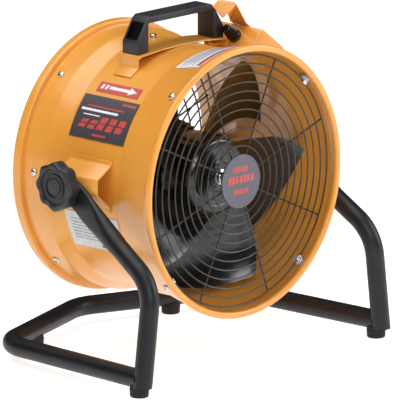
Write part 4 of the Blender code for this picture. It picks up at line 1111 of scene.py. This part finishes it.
def handle():
    """A moulded bail with a hollow at each shoulder, lined with painted shade, held by a screw from
    under each foot.
    """
    half = [(HANDLE_IN_X, saddle_top(HANDLE_IN_X)), (HANDLE_OUT_X, saddle_top(HANDLE_OUT_X)),
            (HANDLE_OUT_X, 0.408), (0.06, 0.4352), (0.0545, 0.4392)]
    outline = half + [(-x, z) for x, z in reversed(half)]
    outline += [(-HANDLE_IN_X, 0.4306), (HANDLE_IN_X, 0.4306)]
    grip = prism("carry_handle", outline, HANDLE_Y, PLASTIC)
    round_off(grip, 0.0014, 3, 30.0)
    pocket = [(0.083, 0.41), (0.0672, 0.4365), (0.0612, 0.4305), (0.0612, 0.425),
              (0.0665, 0.411)]
    depth = (HANDLE_Y[0] + 0.004, HANDLE_Y[1] - 0.004)
    sides = (("left", -1.0), ("right", 1.0))
    for label, side in sides:
        hollow = [(side * x, z) for x, z in pocket]
        # Each pocket's cut faces take the cutter's near-black matt lining, painted shade inside the
        # hollow.
        carve(grip, prism(f"pocket_{label}", hollow, depth, POCKET_SHADE))
    stands_for(settled(grip), "handle")
    seat = saddle_top(HANDLE_SCREW_X) - SADDLE_T * 1.01 - 0.0012
    for label, side in sides:
        place = Matrix.Translation((side * HANDLE_SCREW_X, sum(HANDLE_Y) / 2.0, seat))
        pan_screw(f"saddle_screw_{label}", f"handle_screw_{label}", 0.0045, 0.0026,
                  place @ Matrix.Rotation(pi, 4, "X"), 0.0105)


# ---------------- switch box


def box_place(x, y, z):
    return on_drum(BOX_ANGLE, 0.0, 0.0) @ Matrix.Translation((x, y, z))


def switch_box():
    outline = [(-BOX_HALF_W, BOX_LOW_R), (BOX_HALF_W, BOX_LOW_R), (BOX_HALF_W, BOX_TOP_R),
               (-BOX_HALF_W, BOX_TOP_R)]
    smooth = eased(outline, 0.0042, True, 5, (0, 1))
    place = box_place(0.0, 0.0, 0.0)
    cover = prism("switch_cover", smooth, BOX_Y, ORANGE, place, 0.0022, 3, 40.0)
    stands_for(settled(cover, 40.0), "switch_box")
    head = [(0.0, 0.0013), (0.0016, 0.0012), (0.0026, 0.0007), (0.0029, 0.0), (0.0, 0.0)]
    spots = [(x, y) for y in (BOX_Y[0] + 0.011, BOX_Y[1] - 0.011) for x in (-0.0185, 0.0185)]
    for index, (x, y) in enumerate(spots):
        spot = box_place(x, y, BOX_TOP_R - 0.0001)
        detail(turned(f"cover_screw_{index + 1}", head, 24, ZINC, spot))
    half = BOX_HALF_W - 0.004
    for index, (low_y, high_y) in enumerate(((BOX_Y[0] - 0.0006, BOX_Y[0] + 0.0002),
                                             (BOX_Y[1] - 0.0002, BOX_Y[1] + 0.0006))):
        detail(block(f"cover_flange_{index + 1}", (-half, low_y, 0.164), (half, high_y, 0.169),
                     place, 0.0002))


def gland():
    """A ribbed rubber gland that widens down to its flange on the box's left side."""
    profile = [(0.0, GLAND_H), (0.0042, GLAND_H), (0.0054, GLAND_H - 0.0008)]
    ribs = 5
    pitch = (GLAND_H - 0.007) / ribs
    for rib in range(ribs):
        top = GLAND_H - 0.001 - rib * pitch
        reach = 0.006 + 0.0006 * rib
        profile += [(reach, top - 0.1 * pitch), (reach, top - 0.52 * pitch),
                    (reach - 0.002, top - 0.6 * pitch), (reach - 0.002, top - 0.96 * pitch)]
    profile += [(0.0084, 0.0056), (0.0087, 0.005), (0.0087, 0.0006), (0.0083, 0.0), (0.0, 0.0)]
    to_left = Matrix.Rotation(radians(-90.0), 4, "Y")
    place = box_place(-BOX_HALF_W - GAP, -0.027, 0.1797) @ to_left
    stands_for(turned("cable_gland_skin", profile, 40, GLAND, place), "cable_gland")


def hook():
    """A folded sheet that stands on the box's top, with a point that keeps the cord in."""
    rear, front, fold = -0.008, -0.036, -0.04
    corners = {
        "foot_rear": (0.1104, rear, 0.4018), "foot_front": (0.1104, front, 0.4018),
        "rear": (0.1004, rear, 0.4097), "front": (0.1004, front, 0.4097),
        "low": (0.062, fold, 0.429), "high": (0.076, fold, 0.44),
        "tip": (0.047, fold, 0.4493), "end": (0.035, fold, 0.442),
        "under": (0.053, fold, 0.424),
    }
    bm = bmesh.new()
    made = {key: bm.verts.new(place) for key, place in corners.items()}
    for face in (("foot_rear", "foot_front", "front", "rear"), ("rear", "front", "high"),
                 ("rear", "high", "low"), ("low", "high", "tip", "end", "under")):
        bm.faces.new([made[key] for key in face])
    obj = made_object("cord_bracket", bm, ORANGE)
    shell = obj.modifiers.new("Solidify", "SOLIDIFY")
    shell.thickness = 0.0016
    shell.offset = 0.0
    shell.use_even_offset = True
    round_off(obj, 0.0004, 2, 30.0)
    stands_for(settled(obj), "cord_hook")


def toggle():
    """The toggle's threaded bush and lever on the box's rear end, and the capacitor inside it."""
    def place(y, z=0.182):
        return box_place(0.0, y, z) @ TO_REAR

    bush = [(0.007, 0.003), (0.007, 0.0), (0.0042, 0.0), (0.0042, 0.0061), (0.0042, 0.0075),
            (0.0058, 0.0075)]
    for step in range(4):
        at = 0.0072 - step * 0.0011
        bush += [(0.0058, at), (0.0054, at - 0.00055)]
    bush += [(0.0058, 0.003)]
    skin_of_bush = turned("toggle_bush_skin", bush, 40, ZINC, place(BOX_Y[1] + GAP), True)
    stands_for(skin_of_bush, "toggle_bush")
    lever = [(0.0, 0.0165), (0.0012, 0.0164), (0.0021, 0.0156), (0.0025, 0.0135),
             (0.0023, 0.0115), (0.0016, 0.006), (0.0016, 0.004), (0.0028, 0.002),
             (0.0033, 0.0002), (0.0026, -0.002), (0.0, -0.0032)]
    stands_for(turned("toggle_lever_skin", lever, 32, ZINC, place(0.0242)), "toggle_lever")
    can = [(0.0, 0.05), (0.0132, 0.05), (0.014, 0.049), (0.014, 0.0006), (0.0134, 0.0),
           (0.0, 0.0)]
    stands_for(turned("capacitor_can", can, 48, MOTOR, place(-0.055, 0.179)), "capacitor")


# ---------------- studio


def placed(name, data, place, target):
    """A camera or lamp that looks from this place at the target."""
    obj = bpy.data.objects.new(name, data)
    bpy.context.scene.collection.objects.link(obj)
    obj.location = place
    obj.rotation_euler = (Vector(target) - Vector(place)).to_track_quat("-Z", "Y").to_euler()
    return obj


def camera():
    away = Vector((sin(CAMERA_TURN) * cos(CAMERA_RISE),
                   -cos(CAMERA_TURN) * cos(CAMERA_RISE), sin(CAMERA_RISE)))
    data = bpy.data.cameras.new("camera")
    data.sensor_width = 36.0
    data.lens = CAMERA_LENS
    data.clip_start = 0.5
    data.clip_end = 60.0
    place = Vector(CAMERA_TARGET) + away * CAMERA_AWAY
    bpy.context.scene.camera = placed("camera", data, place, CAMERA_TARGET)


def floor():
    bm = bmesh.new()
    bmesh.ops.create_grid(bm, x_segments=8, y_segments=8, size=30.0)
    finish = Finish("studio_floor", 0.85, specular=0.1)
    tone = finish.ramp(finish.noise(2.0), (0.3, 0.6), (0.7, 0.64))
    finish.rough(finish.noise(6.0), 0.8, 0.92)
    finish.set({"Base Color": tone, "Emission Color": (1.0,) * 4, "Emission Strength": 0.82})
    made_object("studio_floor", bm, finish.material)


def daylight():
    """A white surround, brighter towards the top."""
    world = bpy.data.worlds.new("studio_world")
    world.use_nodes = True
    tree = world.node_tree
    sky = tree.nodes.new("ShaderNodeTexCoord")
    split = tree.nodes.new("ShaderNodeSeparateXYZ")
    level = tree.nodes.new("ShaderNodeMapRange")
    feed(tree, split, {"Vector": sky.outputs["Generated"]})
    feed(tree, level, {"Value": split.outputs["Z"], "From Min": -0.05, "From Max": 0.75,
                       "To Min": 0.26, "To Max": 0.8})
    feed(tree, tree.nodes["Background"], {"Strength": level.outputs["Result"]})
    bpy.context.scene.world = world


def softbox(name, place, target, size, power, tone=(1.0, 1.0, 1.0)):
    data = bpy.data.lights.new(name, "AREA")
    data.shape = "RECTANGLE"
    data.size, data.size_y = size
    data.energy = power
    data.color = tone
    placed(name, data, place, target)


def studio():
    camera()
    floor()
    daylight()
    softbox("overhead_softbox", (-0.5, 0.2, 2.5), (0.0, 0.0, 0.2), (2.6, 2.6), 66.0)
    softbox("front_right_softbox", (1.9, -1.65, 1.35), (0.0, 0.0, 0.25), (1.5, 1.5), 42.0,
            (0.9, 0.95, 1.0))
    softbox("front_left_softbox", (-1.6, -2.4, 1.7), (0.0, 0.0, 0.25), (1.4, 1.2), 32.0)
    view = bpy.context.scene.view_settings
    view.view_transform = "Standard"
    view.look = "None"


# ---------------- build

studio()
housing()
grilles()
badge()
drum_fixings()
impeller()
motor()
strap("front_motor_strap", "motor_strap_front", MOTOR_BOLT_Y[0], 0.0)
strap("rear_motor_strap", "motor_strap_rear", MOTOR_BOLT_Y[1], 90.0)
labels()
base()
feet()
for side_name, side_sign in (("left", -1.0), ("right", 1.0)):
    leg(side_sign, side_name)
    bracket(side_sign, side_name)
    knob(side_sign, side_name)
    clamp(side_sign, side_name)
saddle()
handle()
switch_box()
gland()
hook()
toggle()
